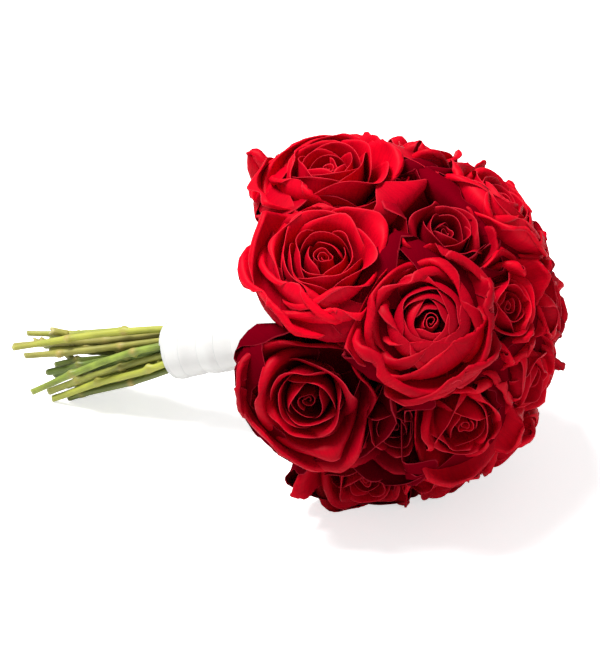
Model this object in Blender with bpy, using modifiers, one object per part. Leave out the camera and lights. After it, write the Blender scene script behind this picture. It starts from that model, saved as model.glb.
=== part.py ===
"""A hand-tied bouquet of red roses lying on its side, in metres, +Z up.

The origin is on the surface that the bouquet lies on, below the middle of its whole length and breadth.
The bouquet's own axis runs from the cut stems, at -X and low, to the crown of the dome of blooms, at +X and
higher.
"""

from collections import namedtuple

import bmesh
import bpy
import numpy as np
from mathutils import Matrix, Vector

MM = 0.001

# The dome and the bouquet's axis
DOME_HEIGHT = 104 * MM  # the dome's centre above the surface
DOME_AHEAD = 75.5 * MM  # and ahead of the middle of the whole length
DOME_ASIDE = 2.0 * MM  # and aside of the middle of the whole breadth
AXIS_RISE = np.radians(20)  # the axis climbs this much from the stems to the crown

# A bloom of standard size: the others are scaled from it
STANDARD_RADIUS = 44 * MM
# Petals counted from the bud outwards, of which the solids keep the outermost whorl and one within
PETALS = 24
OUTER_PETALS = (19, 20, 21, 22, 23)
OUTER_GROWTH = 0.14  # the outer petals fill the room between the blooms
INNER_PETALS = (8, 9, 10)
OUTER_TURN = np.radians(144)  # the outermost five petals stand evenly, two fifths of a turn after each other
INNER_TURN = np.radians(120)
HEAD_OVER_BASE = 0.39  # a head's centre stands this share of its radius above the bloom's base
PETAL_THICKNESS = 0.9 * MM
PRESSED_SHARE = 0.72  # of the thickness is left where a petal is pressed flat on the surface below
PETAL_ROOT_RISE = 2.2 * MM  # the petals leave the bud this far above its base
OUTER_STATIONS = (0.0, 0.7, 1.0)  # shares of a petal's length at which a solid petal bends
INNER_STATIONS = (0.0, 0.45, 1.0)
COLUMN_STATIONS = (-1.0, -0.5, 0.5, 1.0)  # and of its half width
BLOOM_GAP = 0.6 * MM  # between neighbouring blooms
LIMIT_RADIUS = 120 * MM  # no petal reaches further from the limit's centre
LIMIT_BACK = 11 * MM  # which lies behind the dome's: the crown is flatter than the rest
SEAT_GAP = 0.3 * MM  # between a bloom and its hip, and between pieces that touch
CORE_SIDES = 5

# Stems, tie and ribbon
STEM_RADIUS = 2.25 * MM
STEM_MARGIN = 0.9 * MM  # between stems above the tie, more than SEAT_GAP
LOWER_MARGIN = 0.3 * MM  # and below it
HIP_ROOM = 9 * MM  # and round each hip, for its sepals
STEM_END_SWELL = 1.05  # a stem is this much thicker at its cut end
WAIST = 116 * MM  # from the dome's centre back to the tie, along the axis
FLARE_LENGTH = 64 * MM  # the sheaf opens below the tie like a hyperbola with this half length
TWIST = -np.radians(400)  # turn of the spiralled stems, for each metre below the tie
# A stem strays about this much at its cut end, half-way to the tie and in it
STRAYS = (2.6 * MM, 1.7 * MM, 0)
HIP_RADIUS = 4.6 * MM
HIP_LENGTH = 9 * MM
SEPALS = 5
SEPAL_LENGTH = 13 * MM
SEPAL_DROP = 7 * MM  # their tips hang this far below their root
SEPAL_NARROW = 0.42  # the star's inner corners are drawn in to this share
TIE_WIDTH = 12 * MM
TIE_WALL = 0.8 * MM
RIBBON_FROM = 156 * MM  # the ribbon's lower edge, from the dome's centre
RIBBON_TO = 65 * MM  # and its upper edge, under the blooms
RIBBON_WALL = 0.9 * MM
ROUND_SIDES = 20

# Where each bloom sits on the dome. polar is the angle from the crown, clock the angle round the axis from
# the near side (-Y) over the top, and reach the distance from the dome's centre. A bloom looks along its face
# angles, and its stem is cut so far back from the dome's centre.
Rose = namedtuple("Rose", "polar clock reach radius opening face_polar face_clock cut")
ROSES = (
    Rose(90, 82, 94, 50, 1.0, 68, 82, 252),
    Rose(83, 43, 95, 49, 1.0, 65, 58, 248),
    Rose(50, 18, 100, 50, 1.0, 55, 36, 250),
    Rose(97, 0, 92, 46, 0.8, 72, 4, 251),
    Rose(101, -54, 89, 40, 0.8, 76, -26, 240),
    Rose(51, -33, 92, 43, 0.85, 56, -22, 241),
    Rose(34, 117, 92, 46, 1.0, 45, 112, 244),
    Rose(42, 67, 83, 38, 0.8, 48, 66, 243),
    Rose(71, 121, 88, 42, 0.85, 69, 119, 267),
    Rose(109, 117, 95, 44, 0.9, 90, 117, 259),
    Rose(16, 18, 87, 38, 0.8, 24, 22, 248),
    Rose(15, 214, 89, 40, 0.85, 22, 205, 250),
    Rose(27, -62, 89, 40, 0.85, 36, -68, 242),
    Rose(57, -87, 95, 39, 0.8, 59, -85, 244),
    Rose(78, -70, 90, 38, 0.75, 76, -60, 243),
    Rose(37, 168, 89, 41, 0.85, 46, 168, 252),
    Rose(73, -22, 81, 36, 0.75, 72, -16, 241),
    Rose(80, 163, 92, 43, 0.9, 73, 165, 260),
    Rose(52, 222, 91, 41, 0.85, 53, 222, 249),
    Rose(80, 205, 92, 43, 0.9, 74, 205, 246),
    Rose(82, 243, 90, 41, 0.85, 76, 243, 244),
    Rose(104, -93, 87, 38, 0.75, 88, -92, 241),
    Rose(108, 185, 87, 40, 0.85, 92, 185, 250),
)

# The bouquet's own directions: along the axis to the crown, up across it, and to the near side
CENTRE = np.array([DOME_AHEAD, DOME_ASIDE, DOME_HEIGHT])
CROWN = np.array([np.cos(AXIS_RISE), 0, np.sin(AXIS_RISE)])
OVER = np.array([-np.sin(AXIS_RISE), 0, np.cos(AXIS_RISE)])
NEAR = np.array([0, -1.0, 0])

# How far a petal leans out from its bloom's axis, in degrees, at four stations from root to tip,
# for a petal of the bud, of the middle and of the outside
LEAN_STATIONS = (0.0, 0.38, 0.72, 1.0)
LEAN_BUD = (66, 6, -9, -32)
LEAN_MIDDLE = (74, 27, 14, 28)
LEAN_OUTSIDE = (82, 58, 62, 128)

Head = namedtuple("Head", "centre base frame radius opening cut number")


def smooth(x):
    """0 below 0, 1 above 1, and an S-curve between."""
    x = np.clip(x, 0, 1)
    return x * x * (3 - 2 * x)


def direction(polar, clock):
    """The unit vector at an angle from the crown and an angle round the axis, both in degrees."""
    polar, clock = np.radians(polar), np.radians(clock)
    return CROWN * np.cos(polar) + (NEAR * np.cos(clock) + OVER * np.sin(clock)) * np.sin(polar)


def head_of(rose, number):
    """The centre, base and axes of a bloom: its own z is the way it looks."""
    look = direction(rose.face_polar, rose.face_clock)
    side = CROWN if abs(look @ CROWN) < 0.95 else OVER
    x = side - look * (side @ look)
    x /= np.linalg.norm(x)
    radius = rose.radius * MM
    centre = CENTRE + direction(rose.polar, rose.clock) * rose.reach * MM
    frame = np.stack([x, np.cross(look, x), look], axis=1)
    base = centre - look * HEAD_OVER_BASE * radius
    return Head(centre, base, frame, radius, rose.opening, rose.cut * MM, number)


def walls_round(head, heads, gap):
    """Planes half-way between this bloom and each other, further from the larger.

    Each is a normal and its distance from this bloom's centre.
    """
    walls = []
    for other in heads:
        if other.number == head.number:
            continue
        across = other.centre - head.centre
        length = np.linalg.norm(across)
        share = length**2 + 0.8 * (head.radius**2 - other.radius**2)
        walls.append((across / length, share / (2 * length) - gap / 2))
    return walls


def pressed(points, head, walls, firmness=5.0):
    """Points drawn in towards the bloom's centre, so that none passes a wall: near it they crowd together."""
    out = points - head.centre
    length = np.maximum(np.linalg.norm(out, axis=-1, keepdims=True), 1e-9)
    way = out / length
    room = np.full(length.shape[:-1], 10.0)
    for normal, reach in walls:
        towards = way @ normal
        room = np.minimum(room, np.where(towards > 1e-3, reach / np.maximum(towards, 1e-3), 10.0))
    place = head.centre - CENTRE + CROWN * LIMIT_BACK
    outward = way @ place
    to_limit = np.sqrt(outward**2 + LIMIT_RADIUS**2 - place @ place) - outward
    room = np.minimum(room, to_limit)[..., None]
    return head.centre + way * length / (1 + (length / room) ** firmness) ** (1 / firmness)


def lean(along, layer):
    """The angle from the bloom's axis at a share of the petal's length.

    At each station it is a parabola over the layers.
    """
    layer = np.clip(layer, -0.1, 1.35)
    at_station = [
        2 * bud * (layer - 0.5) * (layer - 1)
        - 4 * middle * layer * (layer - 1)
        + 2 * outside * layer * (layer - 0.5)
        for bud, middle, outside in zip(LEAN_BUD, LEAN_MIDDLE, LEAN_OUTSIDE)
    ]
    angle = at_station[0]
    for i in range(len(LEAN_STATIONS) - 1):
        share = smooth((along - LEAN_STATIONS[i]) / (LEAN_STATIONS[i + 1] - LEAN_STATIONS[i]))
        angle = angle + (at_station[i + 1] - at_station[i]) * share
    return np.radians(angle)


def petal_points(head, k, stations, turn, spread, rise):
    """The middle surface of petal k in the bloom's own frame, as rows of points from root to rim.

    Each column runs out from the hip by adding up short steps at its lean angle, and the row at that height
    is bent round the bloom's axis. The sides lean further than the middle, so that outer petals roll back to a
    point. No row spreads further round the axis than spread, so that petals of one whorl do not cross.
    """
    draw = np.random.default_rng([head.number, k])
    jitter = draw.normal(0, 1, 4)
    phase = draw.uniform(0, 2 * np.pi, 4)
    point = draw.uniform(-0.6, 1)
    t = (k + 0.5) / PETALS
    scale = head.radius / STANDARD_RADIUS * (1.08 + OUTER_GROWTH * smooth((t - 0.45) / 0.45))
    length = scale * MM * (33 + 26 * t + 1.3 * jitter[1])
    width = scale * MM * (24 + 52 * t**0.85) * (1 + 0.06 * jitter[2])
    layer = 0.02 + 0.98 * t**1.05 * head.opening
    flatness = 0.55 * smooth((t - 0.35) / 0.65)
    roll = 0.05 + 0.33 * smooth((t - 0.3) / 0.7)
    wave = 0.012 + 0.035 * t
    u, v = np.meshgrid(COLUMN_STATIONS, stations)
    u[0] = np.sign(u[0])
    rim = 1 - 0.36 * np.abs(u) ** 2.6 + (0.05 + 0.03 * t) * point * np.exp(-((u / 0.28) ** 2))
    along = v * rim
    local = layer + 0.022 * u + roll * np.abs(u) ** 2.5 * smooth((along - 0.35) / 0.65)
    local = local + wave * 1.6 * np.sin(2.6 * u + phase[2]) * smooth((along - 0.4) / 0.6)
    # The angles are added up on a fine ladder, so that a coarse petal ends where a fine one does
    ladder = np.linspace(0, 1, 25)[:, None, None] * along[None]
    angle = lean(ladder, local[None]) + np.radians(2 * jitter[3]) * smooth(ladder / 0.6)
    step = np.diff(ladder, axis=0) * length
    out = (0.5 * (np.sin(angle[1:]) + np.sin(angle[:-1])) * step).sum(axis=0)
    up = (0.5 * (np.cos(angle[1:]) + np.cos(angle[:-1])) * step).sum(axis=0)
    out = np.maximum(out + scale * MM * (2.6 + 3.0 * t), 0.8 * MM)
    up = up + rise
    shape = (0.24 + 0.76 * np.sin(np.pi / 2 * v**0.85) ** 1.15) * (1 - 0.10 * smooth((v - 0.75) / 0.25))
    bend = out * (1 + flatness) + 0.5 * MM
    across = u * shape * width / 2 / bend
    x = out - bend * (1 - np.cos(across))
    y = bend * np.sin(across)
    limit = np.abs(u) * np.tan(spread / 2) * np.maximum(x, 0)
    y = np.clip(y, -limit, limit)
    return np.stack([x * np.cos(turn) - y * np.sin(turn), x * np.sin(turn) + y * np.cos(turn), up], axis=-1)


def in_place(points, head, walls):
    """Points of a bloom moved to where it grows, kept inside its walls and pressed flat on the surface."""
    placed = pressed(head.base + points @ head.frame.T, head, walls)
    placed[..., 2] = np.maximum(placed[..., 2], (PRESSED_SHARE - 0.5) * PETAL_THICKNESS)
    return placed


def material(name, colour, roughness):
    made = bpy.data.materials.new(name)
    made.use_nodes = True
    shader = made.node_tree.nodes["Principled BSDF"]
    shader.inputs["Base Color"].default_value = (*colour, 1)
    shader.inputs["Roughness"].default_value = roughness
    return made


def add_object(name, mesh, collection):
    made = bpy.data.objects.new(name, mesh)
    collection.objects.link(made)
    return made


def apply_modifiers(target):
    """The object's mesh becomes what its modifiers make of it."""
    graph = bpy.context.evaluated_depsgraph_get()
    mesh = bpy.data.meshes.new_from_object(target.evaluated_get(graph))
    target.modifiers.clear()
    target.data = mesh
    return target


def island_volumes(shape):
    """The connected pieces of a closed mesh, each as its faces and the volume it encloses."""
    left = set(shape.faces)
    islands = []
    while left:
        island, edge = set(), [left.pop()]
        while edge:
            face = edge.pop()
            island.add(face)
            for side in face.edges:
                for beyond in side.link_faces:
                    if beyond in left:
                        left.remove(beyond)
                        edge.append(beyond)
        volume = 0
        for face in island:
            a, b, c = (vertex.co for vertex in face.verts)
            volume += a.dot(b.cross(c)) / 6
        islands.append((island, volume))
    return islands


def without_pockets(body):
    """The body with the sealed pockets between its pieces filled: their walls have a negative volume."""
    shape = bmesh.new()
    shape.from_mesh(body.data)
    bmesh.ops.triangulate(shape, faces=shape.faces[:])
    for island, volume in island_volumes(shape):
        if volume < 0:
            corners = {vertex for face in island for vertex in face.verts}
            bmesh.ops.delete(shape, geom=list(corners), context="VERTS")
    shape.to_mesh(body.data)
    shape.free()
    return body


def joined(body, pieces):
    """The pieces united with body by one Boolean, and then removed."""
    union = body.modifiers.new("union", "BOOLEAN")
    union.operation = "UNION"
    union.operand_type = "COLLECTION"
    union.solver = "MANIFOLD"
    union.collection = pieces
    bpy.context.view_layer.update()
    apply_modifiers(body)
    for piece in list(pieces.objects):
        bpy.data.objects.remove(piece)
    bpy.data.collections.remove(pieces)
    return without_pockets(body)


def petal_blade(name, points, collection):
    """A closed blade: a grid whose points are moved onto the petal's surface, with a wall of even thickness.

    The points of the root row coincide in two pairs, and are merged: the blade fans out from a narrow root.
    """
    rows, columns = points.shape[0] - 1, points.shape[1] - 1
    shape = bmesh.new()
    bmesh.ops.create_grid(shape, x_segments=columns, y_segments=rows, size=1)
    shape.verts.ensure_lookup_table()
    for vertex, place in zip(shape.verts, points.reshape(-1, 3)):
        vertex.co = place
    bmesh.ops.remove_doubles(shape, verts=shape.verts, dist=1e-6)
    bmesh.ops.triangulate(shape, faces=shape.faces[:], quad_method="FIXED")
    mesh = bpy.data.meshes.new(name)
    shape.to_mesh(mesh)
    shape.free()
    blade = add_object(name, mesh, collection)
    wall = blade.modifiers.new("wall", "SOLIDIFY")
    wall.thickness = PETAL_THICKNESS
    wall.offset = 0
    return apply_modifiers(blade)


def bud_core(name, head, walls, collection):
    """The closed bud that the petals stand out of, wider at its belly. An outer petal leaves each side."""
    scale = head.radius / STANDARD_RADIUS
    profile = ((6.5, 0.0), (9.6, 16.0), (3.6, 29.0))
    angles = head.number * 1.3 + np.pi / CORE_SIDES * (1 + 2 * np.arange(CORE_SIDES))
    shape = bmesh.new()
    rings = []
    for radius, height in profile:
        level = np.full(CORE_SIDES, height)
        ring = np.stack([radius * np.cos(angles), radius * np.sin(angles), level], axis=-1)
        placed = in_place(ring * scale * MM, head, walls)
        rings.append([shape.verts.new(place) for place in placed])
    for lower, upper in zip(rings, rings[1:]):
        for i in range(CORE_SIDES):
            after = (i + 1) % CORE_SIDES
            shape.faces.new((lower[i], lower[after], upper[after], upper[i]))
    shape.faces.new(rings[0][::-1])
    shape.faces.new(rings[-1])
    bmesh.ops.triangulate(shape, faces=shape.faces[:])
    mesh = bpy.data.meshes.new(name)
    shape.to_mesh(mesh)
    shape.free()
    return add_object(name, mesh, collection)


def floor_cutter(collection):
    """A block whose top is the surface that the bouquet lies on."""
    shape = bmesh.new()
    bmesh.ops.create_cube(shape, size=1)
    bmesh.ops.scale(shape, vec=(0.6, 0.6, 0.02), verts=shape.verts)
    bmesh.ops.translate(shape, vec=(0, 0, -0.01), verts=shape.verts)
    mesh = bpy.data.meshes.new("floor_cutter")
    shape.to_mesh(mesh)
    shape.free()
    cutter = add_object("floor_cutter", mesh, collection)
    cutter.hide_render = True
    cutter.display_type = "WIRE"
    return cutter


def bloom(head, heads, cutter, finish, collection):
    """One rose: its bud and the petals that are kept, as one solid."""
    walls = walls_round(head, heads, BLOOM_GAP + PETAL_THICKNESS)
    name = f"bloom_{head.number:02d}"
    body = bud_core(name, head, walls, collection)
    pieces = bpy.data.collections.new(name + "_petals")
    bpy.context.scene.collection.children.link(pieces)
    for i, k in enumerate(OUTER_PETALS):
        turn = head.number * 1.3 + i * OUTER_TURN
        points = petal_points(head, k, OUTER_STATIONS, turn, np.radians(68), PETAL_ROOT_RISE)
        petal_blade(f"{name}_petal_{k}", in_place(points, head, walls), pieces)
    for i, k in enumerate(INNER_PETALS):
        turn = head.number * 1.3 + np.pi / 5 + i * INNER_TURN
        points = petal_points(head, k, INNER_STATIONS, turn, np.radians(112), 3 * PETAL_ROOT_RISE)
        petal_blade(f"{name}_petal_{k}", in_place(points, head, walls), pieces)
    joined(body, pieces)
    if min(vertex.co.z for vertex in body.data.vertices) < 0:
        press = body.modifiers.new("pressed_flat", "BOOLEAN")
        press.operation = "DIFFERENCE"
        press.solver = "MANIFOLD"
        press.object = cutter
        apply_modifiers(body)
        without_pockets(body)
    body.data.materials.clear()
    body.data.materials.append(finish)
    return body


def packed_stems(heads):
    """Places of the stems across the tie.

    Each stem is drawn in on the side of its own bloom until the sheaf is tight.
    """
    spacing = 2 * STEM_RADIUS + SEAT_GAP
    aims = np.array([[(h.centre - CENTRE) @ NEAR, (h.centre - CENTRE) @ OVER] for h in heads])
    depth = np.array([(h.centre - CENTRE) @ CROWN for h in heads])
    polar = np.arctan2(np.linalg.norm(aims, axis=1), depth)
    places = aims / np.linalg.norm(aims, axis=1)[:, None] * (polar / polar.max())[:, None] * 3 * spacing
    for _ in range(4000):
        places *= 0.9995
        apart = places[:, None] - places[None]
        length = np.linalg.norm(apart, axis=-1) + np.eye(len(heads))
        push = np.clip(spacing - length, 0, None)
        np.fill_diagonal(push, 0)
        places += 0.5 * (apart / length[..., None] * push[..., None]).sum(axis=1)
    return places


def across_axis(place, back):
    """The point at a place across the axis, back from the dome's centre."""
    return CENTRE - CROWN * back + NEAR * place[0] + OVER * place[1]


def stem_route(head, place):
    """Points of a stem from its cut end to its bloom, with its thickness there as a share of STEM_RADIUS."""
    draw = np.random.default_rng([head.number, 7])
    points, swell = [], []
    for share, stray in zip((1.0, 0.5, 0.0), STRAYS):
        down = (head.cut - WAIST) * share
        turned = (place[0] + 1j * place[1]) * np.exp(1j * TWIST * down) * np.hypot(1, down / FLARE_LENGTH)
        turned += complex(*draw.normal(0, stray, 2))
        radius = STEM_RADIUS * (1 + (STEM_END_SWELL - 1) * share)
        point = across_axis((turned.real, turned.imag), WAIST + down)
        point[2] = max(point[2], radius)
        points.append(point)
        swell.append(radius / STEM_RADIUS)
    tied = points[-1]
    tip = head.base - head.frame[:, 2] * SEAT_GAP
    neck = tip - head.frame[:, 2] * HIP_LENGTH
    slant = 1j * TWIST * (place[0] + 1j * place[1])
    leaving = CROWN - NEAR * slant.real - OVER * slant.imag
    reach = np.linalg.norm(neck - tied)
    guides = (tied, tied + leaving * 0.42 * reach, neck - head.frame[:, 2] * 0.30 * reach, neck)
    for share in (0.3, 0.56, 0.8):
        rest = 1 - share
        weights = (rest**3, 3 * rest**2 * share, 3 * rest * share**2, share**3)
        points.append(sum(w * g for w, g in zip(weights, guides)))
        swell.append(1 - 0.1 * share)
    points += [neck, neck + head.frame[:, 2] * 0.45 * HIP_LENGTH, tip]
    swell += [1.0, HIP_RADIUS / STEM_RADIUS, 0.85 * HIP_RADIUS / STEM_RADIUS]
    return np.array(points), np.array(swell)


def bent_clear(routes):
    """Moves the bends below and above the tie until no two stems touch, and none touches another's hip.

    The straight pieces are sampled, samples too close to one of another stem are pushed apart, and each bend
    takes the pushes of the samples beside it, the more the nearer they are. None goes into the surface below.
    """
    tied, neck, hip = 2, 6, 7
    bends = np.array([points[: neck + 1] for points, _ in routes])
    thick = np.array([swell[: neck + 1] for _, swell in routes]) * STEM_RADIUS
    along = np.linspace(0, neck, 6 * neck + 1)
    weights = np.clip(1 - np.abs(along[:, None] - np.arange(neck + 1)), 0, 1)
    free = np.ones((neck + 1, 1))
    free[[tied, neck]] = 0
    hips = np.array([points[hip] for points, _ in routes])
    owner = np.repeat(np.arange(len(routes)), len(along))
    margin = STEM_MARGIN * np.clip(2 * (along - tied), 0, 1)
    margin += LOWER_MARGIN * np.clip(2 * (tied - along), 0, 1)
    need = (2 * thick @ weights.T + SEAT_GAP + margin).reshape(-1)
    for _ in range(160):
        samples = (weights @ bends).reshape(-1, 3)
        apart = samples[:, None] - samples[None]
        length = np.linalg.norm(apart, axis=-1) + 1e-9
        short = np.clip(np.minimum(need[:, None], need[None]) - length, 0, None)
        short[owner[:, None] == owner[None]] = 0
        push = (apart / length[..., None] * short[..., None]).sum(axis=1)
        apart = samples[:, None] - hips[None]
        length = np.linalg.norm(apart, axis=-1) + 1e-9
        short = np.clip(STEM_RADIUS + HIP_ROOM - length, 0, None)
        short[owner[:, None] == np.arange(len(routes))] = 0
        push += (apart / length[..., None] * short[..., None]).sum(axis=1)
        push = push.reshape(len(routes), len(along), 3)
        bends = bends + 0.25 * free * np.einsum("sb,nsd->nbd", weights, push)
        bends[..., 2] = np.maximum(bends[..., 2], thick)
    return [(np.concatenate([b, p[neck + 1 :]]), swell) for (p, swell), b in zip(routes, bends)]


def tube(name, points, swell, collection):
    """A six-sided tube along a route, as a mesh whose caps are welded on."""
    route = bpy.data.curves.new(name, "CURVE")
    route.dimensions = "3D"
    route.bevel_depth = STEM_RADIUS
    route.bevel_resolution = 1
    route.use_fill_caps = True
    spline = route.splines.new("POLY")
    spline.points.add(len(points) - 1)
    for point, place, radius in zip(spline.points, points, swell):
        point.co = (*place, 1)
        point.radius = radius
    guide = add_object(name + "_route", route, collection)
    bpy.context.view_layer.update()
    mesh = bpy.data.meshes.new_from_object(guide.evaluated_get(bpy.context.evaluated_depsgraph_get()))
    bpy.data.objects.remove(guide)
    shape = bmesh.new()
    shape.from_mesh(mesh)
    bmesh.ops.remove_doubles(shape, verts=shape.verts, dist=1e-6)
    bmesh.ops.recalc_face_normals(shape, faces=shape.faces)
    shape.to_mesh(mesh)
    shape.free()
    return add_object(name, mesh, collection)


def calyx_star(name, head, root, collection):
    """Five pointed sepals turned back down the stem: a ten-sided cone with every other corner drawn in."""
    shape = bmesh.new()
    bmesh.ops.create_cone(
        shape, cap_ends=True, segments=2 * SEPALS, radius1=0.85 * SEPAL_LENGTH, radius2=0, depth=SEPAL_DROP
    )
    foot = [vertex for vertex in shape.verts if vertex.co.z < 0]
    for vertex in foot:
        corner = round(np.arctan2(vertex.co.y, vertex.co.x) / (np.pi / SEPALS))
        if corner % 2:
            vertex.co.xy *= SEPAL_NARROW
    place = Matrix(head.frame.tolist()).to_4x4()
    place.translation = root - head.frame[:, 2] * SEPAL_DROP / 2
    bmesh.ops.transform(shape, matrix=place, verts=shape.verts)
    mesh = bpy.data.meshes.new(name)
    shape.to_mesh(mesh)
    shape.free()
    return add_object(name, mesh, collection)


def stem(head, route, finish, collection):
    """One green stem with the hip that its bloom sits on and its calyx."""
    name = f"stem_{head.number:02d}"
    points, swell = route
    body = tube(name, points, swell, collection)
    pieces = bpy.data.collections.new(name + "_calyx")
    bpy.context.scene.collection.children.link(pieces)
    calyx_star(name + "_star", head, points[-2], pieces)
    joined(body, pieces)
    body.data.materials.clear()
    body.data.materials.append(finish)
    return body


def sheaf_radius(routes, back):
    """How far the stems reach from the axis, this far back from the dome's centre."""
    reach = 0
    for points, swell in routes:
        behind = (CENTRE - points) @ CROWN
        order = np.argsort(behind)
        off = points - CENTRE + behind[:, None] * CROWN
        place = [np.interp(back, behind[order], (off @ way)[order]) for way in (NEAR, OVER)]
        thick = np.interp(back, behind[order], swell[order]) * STEM_RADIUS
        reach = max(reach, np.hypot(*place) + thick)
    return reach


def turned_sleeve(name, stations, radii, wall, finish, collection):
    """A thin sleeve round the axis: an open profile that is turned by a Screw and given a wall."""
    mesh = bpy.data.meshes.new(name)
    profile = [(radius, 0, -back) for radius, back in zip(radii, stations)]
    mesh.from_pydata(profile, [(i, i + 1) for i in range(len(profile) - 1)], [])
    sleeve = add_object(name, mesh, collection)
    sleeve.location = CENTRE
    sleeve.rotation_euler = Vector(CROWN).to_track_quat("Z", "Y").to_euler()
    turn = sleeve.modifiers.new("turn", "SCREW")
    turn.steps = turn.render_steps = ROUND_SIDES
    turn.use_merge_vertices = True
    turn.merge_threshold = 0.0001
    thicken = sleeve.modifiers.new("wall", "SOLIDIFY")
    thicken.thickness = wall
    thicken.offset = 0
    mesh.materials.append(finish)
    return sleeve


def tie_and_ribbon(routes, tie_finish, ribbon_finish, collection):
    """The tie that holds the sheaf, and the ribbon that covers it."""
    tie_ends = (WAIST - TIE_WIDTH / 2, WAIST + TIE_WIDTH / 2)
    tie_inside = max(sheaf_radius(routes, back) for back in tie_ends) + SEAT_GAP
    tie_radius = tie_inside + TIE_WALL / 2
    turned_sleeve("binding_tie", tie_ends, (tie_radius, tie_radius), TIE_WALL, tie_finish, collection)
    stations = np.linspace(RIBBON_TO, RIBBON_FROM, 5)
    over_tie = tie_inside + TIE_WALL + SEAT_GAP
    radii = []
    for back in stations:
        near_tie = smooth(1.8 - abs(back - WAIST) / TIE_WIDTH)
        inside = sheaf_radius(routes, back) + 2 * SEAT_GAP
        radii.append(max(inside, over_tie * near_tie) + RIBBON_WALL / 2)
    turned_sleeve("ribbon_wrap", stations, radii, RIBBON_WALL, ribbon_finish, collection)


def main():
    for old in list(bpy.data.objects):
        bpy.data.objects.remove(old)
    collection = bpy.data.collections.new("rose_bouquet")
    bpy.context.scene.collection.children.link(collection)
    helpers = bpy.data.collections.new("helpers")
    bpy.context.scene.collection.children.link(helpers)
    cutter = floor_cutter(helpers)
    petal_finish = material("petal_red", (0.55, 0.0, 0.015), 0.5)
    stem_finish = material("stem_green", (0.27, 0.36, 0.08), 0.55)
    tie_finish = material("tie_green", (0.12, 0.25, 0.08), 0.7)
    ribbon_finish = material("ribbon_white", (0.93, 0.93, 0.90), 0.4)
    heads = [head_of(rose, number) for number, rose in enumerate(ROSES, start=1)]
    routes = bent_clear([stem_route(head, place) for head, place in zip(heads, packed_stems(heads))])
    for head, route in zip(heads, routes):
        bloom(head, heads, cutter, petal_finish, collection)
        stem(head, route, stem_finish, collection)
    tie_and_ribbon(routes, tie_finish, ribbon_finish, collection)


main()
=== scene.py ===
"""The looks of a hand-tied bouquet of red roses that lies on its side, laid out as a Blender add-on.

Each rose, each stem and the ribbon is a surface worked out from a formula in its function's docstring. They
stand where the CAD model's solids stand, because they grow from the same named values.
"""

from collections import namedtuple
from functools import cache

import bpy
import numpy as np
from bpy.props import FloatProperty, FloatVectorProperty, IntProperty, PointerProperty
from mathutils import Matrix, Vector


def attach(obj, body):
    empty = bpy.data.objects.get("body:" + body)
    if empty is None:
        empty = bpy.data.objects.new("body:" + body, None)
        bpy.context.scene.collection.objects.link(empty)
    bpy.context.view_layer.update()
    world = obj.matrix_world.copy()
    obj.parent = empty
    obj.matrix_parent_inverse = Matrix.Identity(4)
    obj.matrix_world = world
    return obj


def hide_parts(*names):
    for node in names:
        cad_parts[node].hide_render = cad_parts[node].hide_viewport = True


bl_info = {
    "name": "Hand-tied rose bouquet",
    "version": (1, 0, 0),
    "blender": (4, 5, 0),
    "location": "View3D > Sidebar > Bouquet",
    "description": "Builds a round bouquet of red roses with a satin ribbon round its handle",
    "category": "Object",
}

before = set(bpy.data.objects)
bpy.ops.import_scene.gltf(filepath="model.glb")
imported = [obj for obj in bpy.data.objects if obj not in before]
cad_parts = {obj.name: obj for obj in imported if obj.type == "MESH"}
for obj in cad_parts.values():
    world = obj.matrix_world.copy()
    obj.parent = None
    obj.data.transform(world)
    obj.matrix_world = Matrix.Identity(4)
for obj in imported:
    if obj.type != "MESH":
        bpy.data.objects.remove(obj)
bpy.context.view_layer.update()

MM = 0.001

# The dome and the bouquet's axis, as in the CAD model
DOME_HEIGHT = 104 * MM
DOME_AHEAD = 75.5 * MM
DOME_ASIDE = 2.0 * MM
AXIS_RISE = np.radians(20)
LIMIT_RADIUS = 120 * MM
FIRMNESS = 5.0  # how suddenly petals crowd together at a limit
LIMIT_BACK = 11 * MM  # the limit's centre lies behind the dome's: the crown is flatter than the rest

# Blooms
STANDARD_RADIUS = 44 * MM
HEAD_OVER_BASE = 0.39  # a head's centre stands this share of its radius above the bloom's base
PETALS = 24  # petals counted from the bud outwards, of which the outermost five stand as in the CAD model
LAST_INNER = 18  # the place of the last petal inside those five
OUTER_PETALS = (19, 20, 21, 22, 23)
INNER_PETALS = (12, 18)  # of a rose half open and of one wide open
OUTER_GROWTH = 0.14
OUTER_TURN = np.radians(144)
INNER_TURN = np.radians(137.5)
BLOOM_GAP = 0.6 * MM
LOOSENESS = (0, 3.5 * MM)  # an outer petal goes this far beyond the plane half-way to a neighbour
WALL_TURN = 0.1  # and that plane is turned about so far for each, in radians
FLOOR_CLEARANCE = 0.25 * MM
GUARD_PETALS = 6  # low petals that close the room between neighbouring blooms, dark with painted shade
GUARD_LEAN = (84, 72, 40, 42)
GUARD_SHADE_BY_ROSE = {1: 0.3, 2: 0.55}  # how much painted shade they carry, as a share, where they show
GUARD_SHADE_ELSEWHERE = 1.0  # and elsewhere
GUARD_OVERLAP = 5.5 * MM  # they go so far beyond the plane half-way to a neighbour
GUARD_LIMIT = LIMIT_RADIUS - 9 * MM
GUARD_REACH = 1.14  # of their bloom's radius, where there is no neighbour
PAINTED_SHADE_BELOW = 80 * MM  # petals nearer than this to the dome's centre, in the recesses in and between the blooms, carry the most painted shade
PAINTED_SHADE_FADE = 33 * MM  # and over this length outwards the painted shade fades
# How much painted shade each rose carries, more where a rose lies in shade, others getting a random share,
# and how far the outer petals of the round ones roll to a point
PAINTED_SHADES = {1: 0.0, 2: 0.1, 3: 0.8, 4: 1.0, 5: 0.75, 6: 0.5, 7: 0.2, 8: 0.8, 9: 0.1, 11: 0.2, 15: 0.5, 17: 1.2}
CURLS = {1: 0.1, 2: 0.15, 3: 0.2, 4: 0.6, 7: 0.4}

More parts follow.
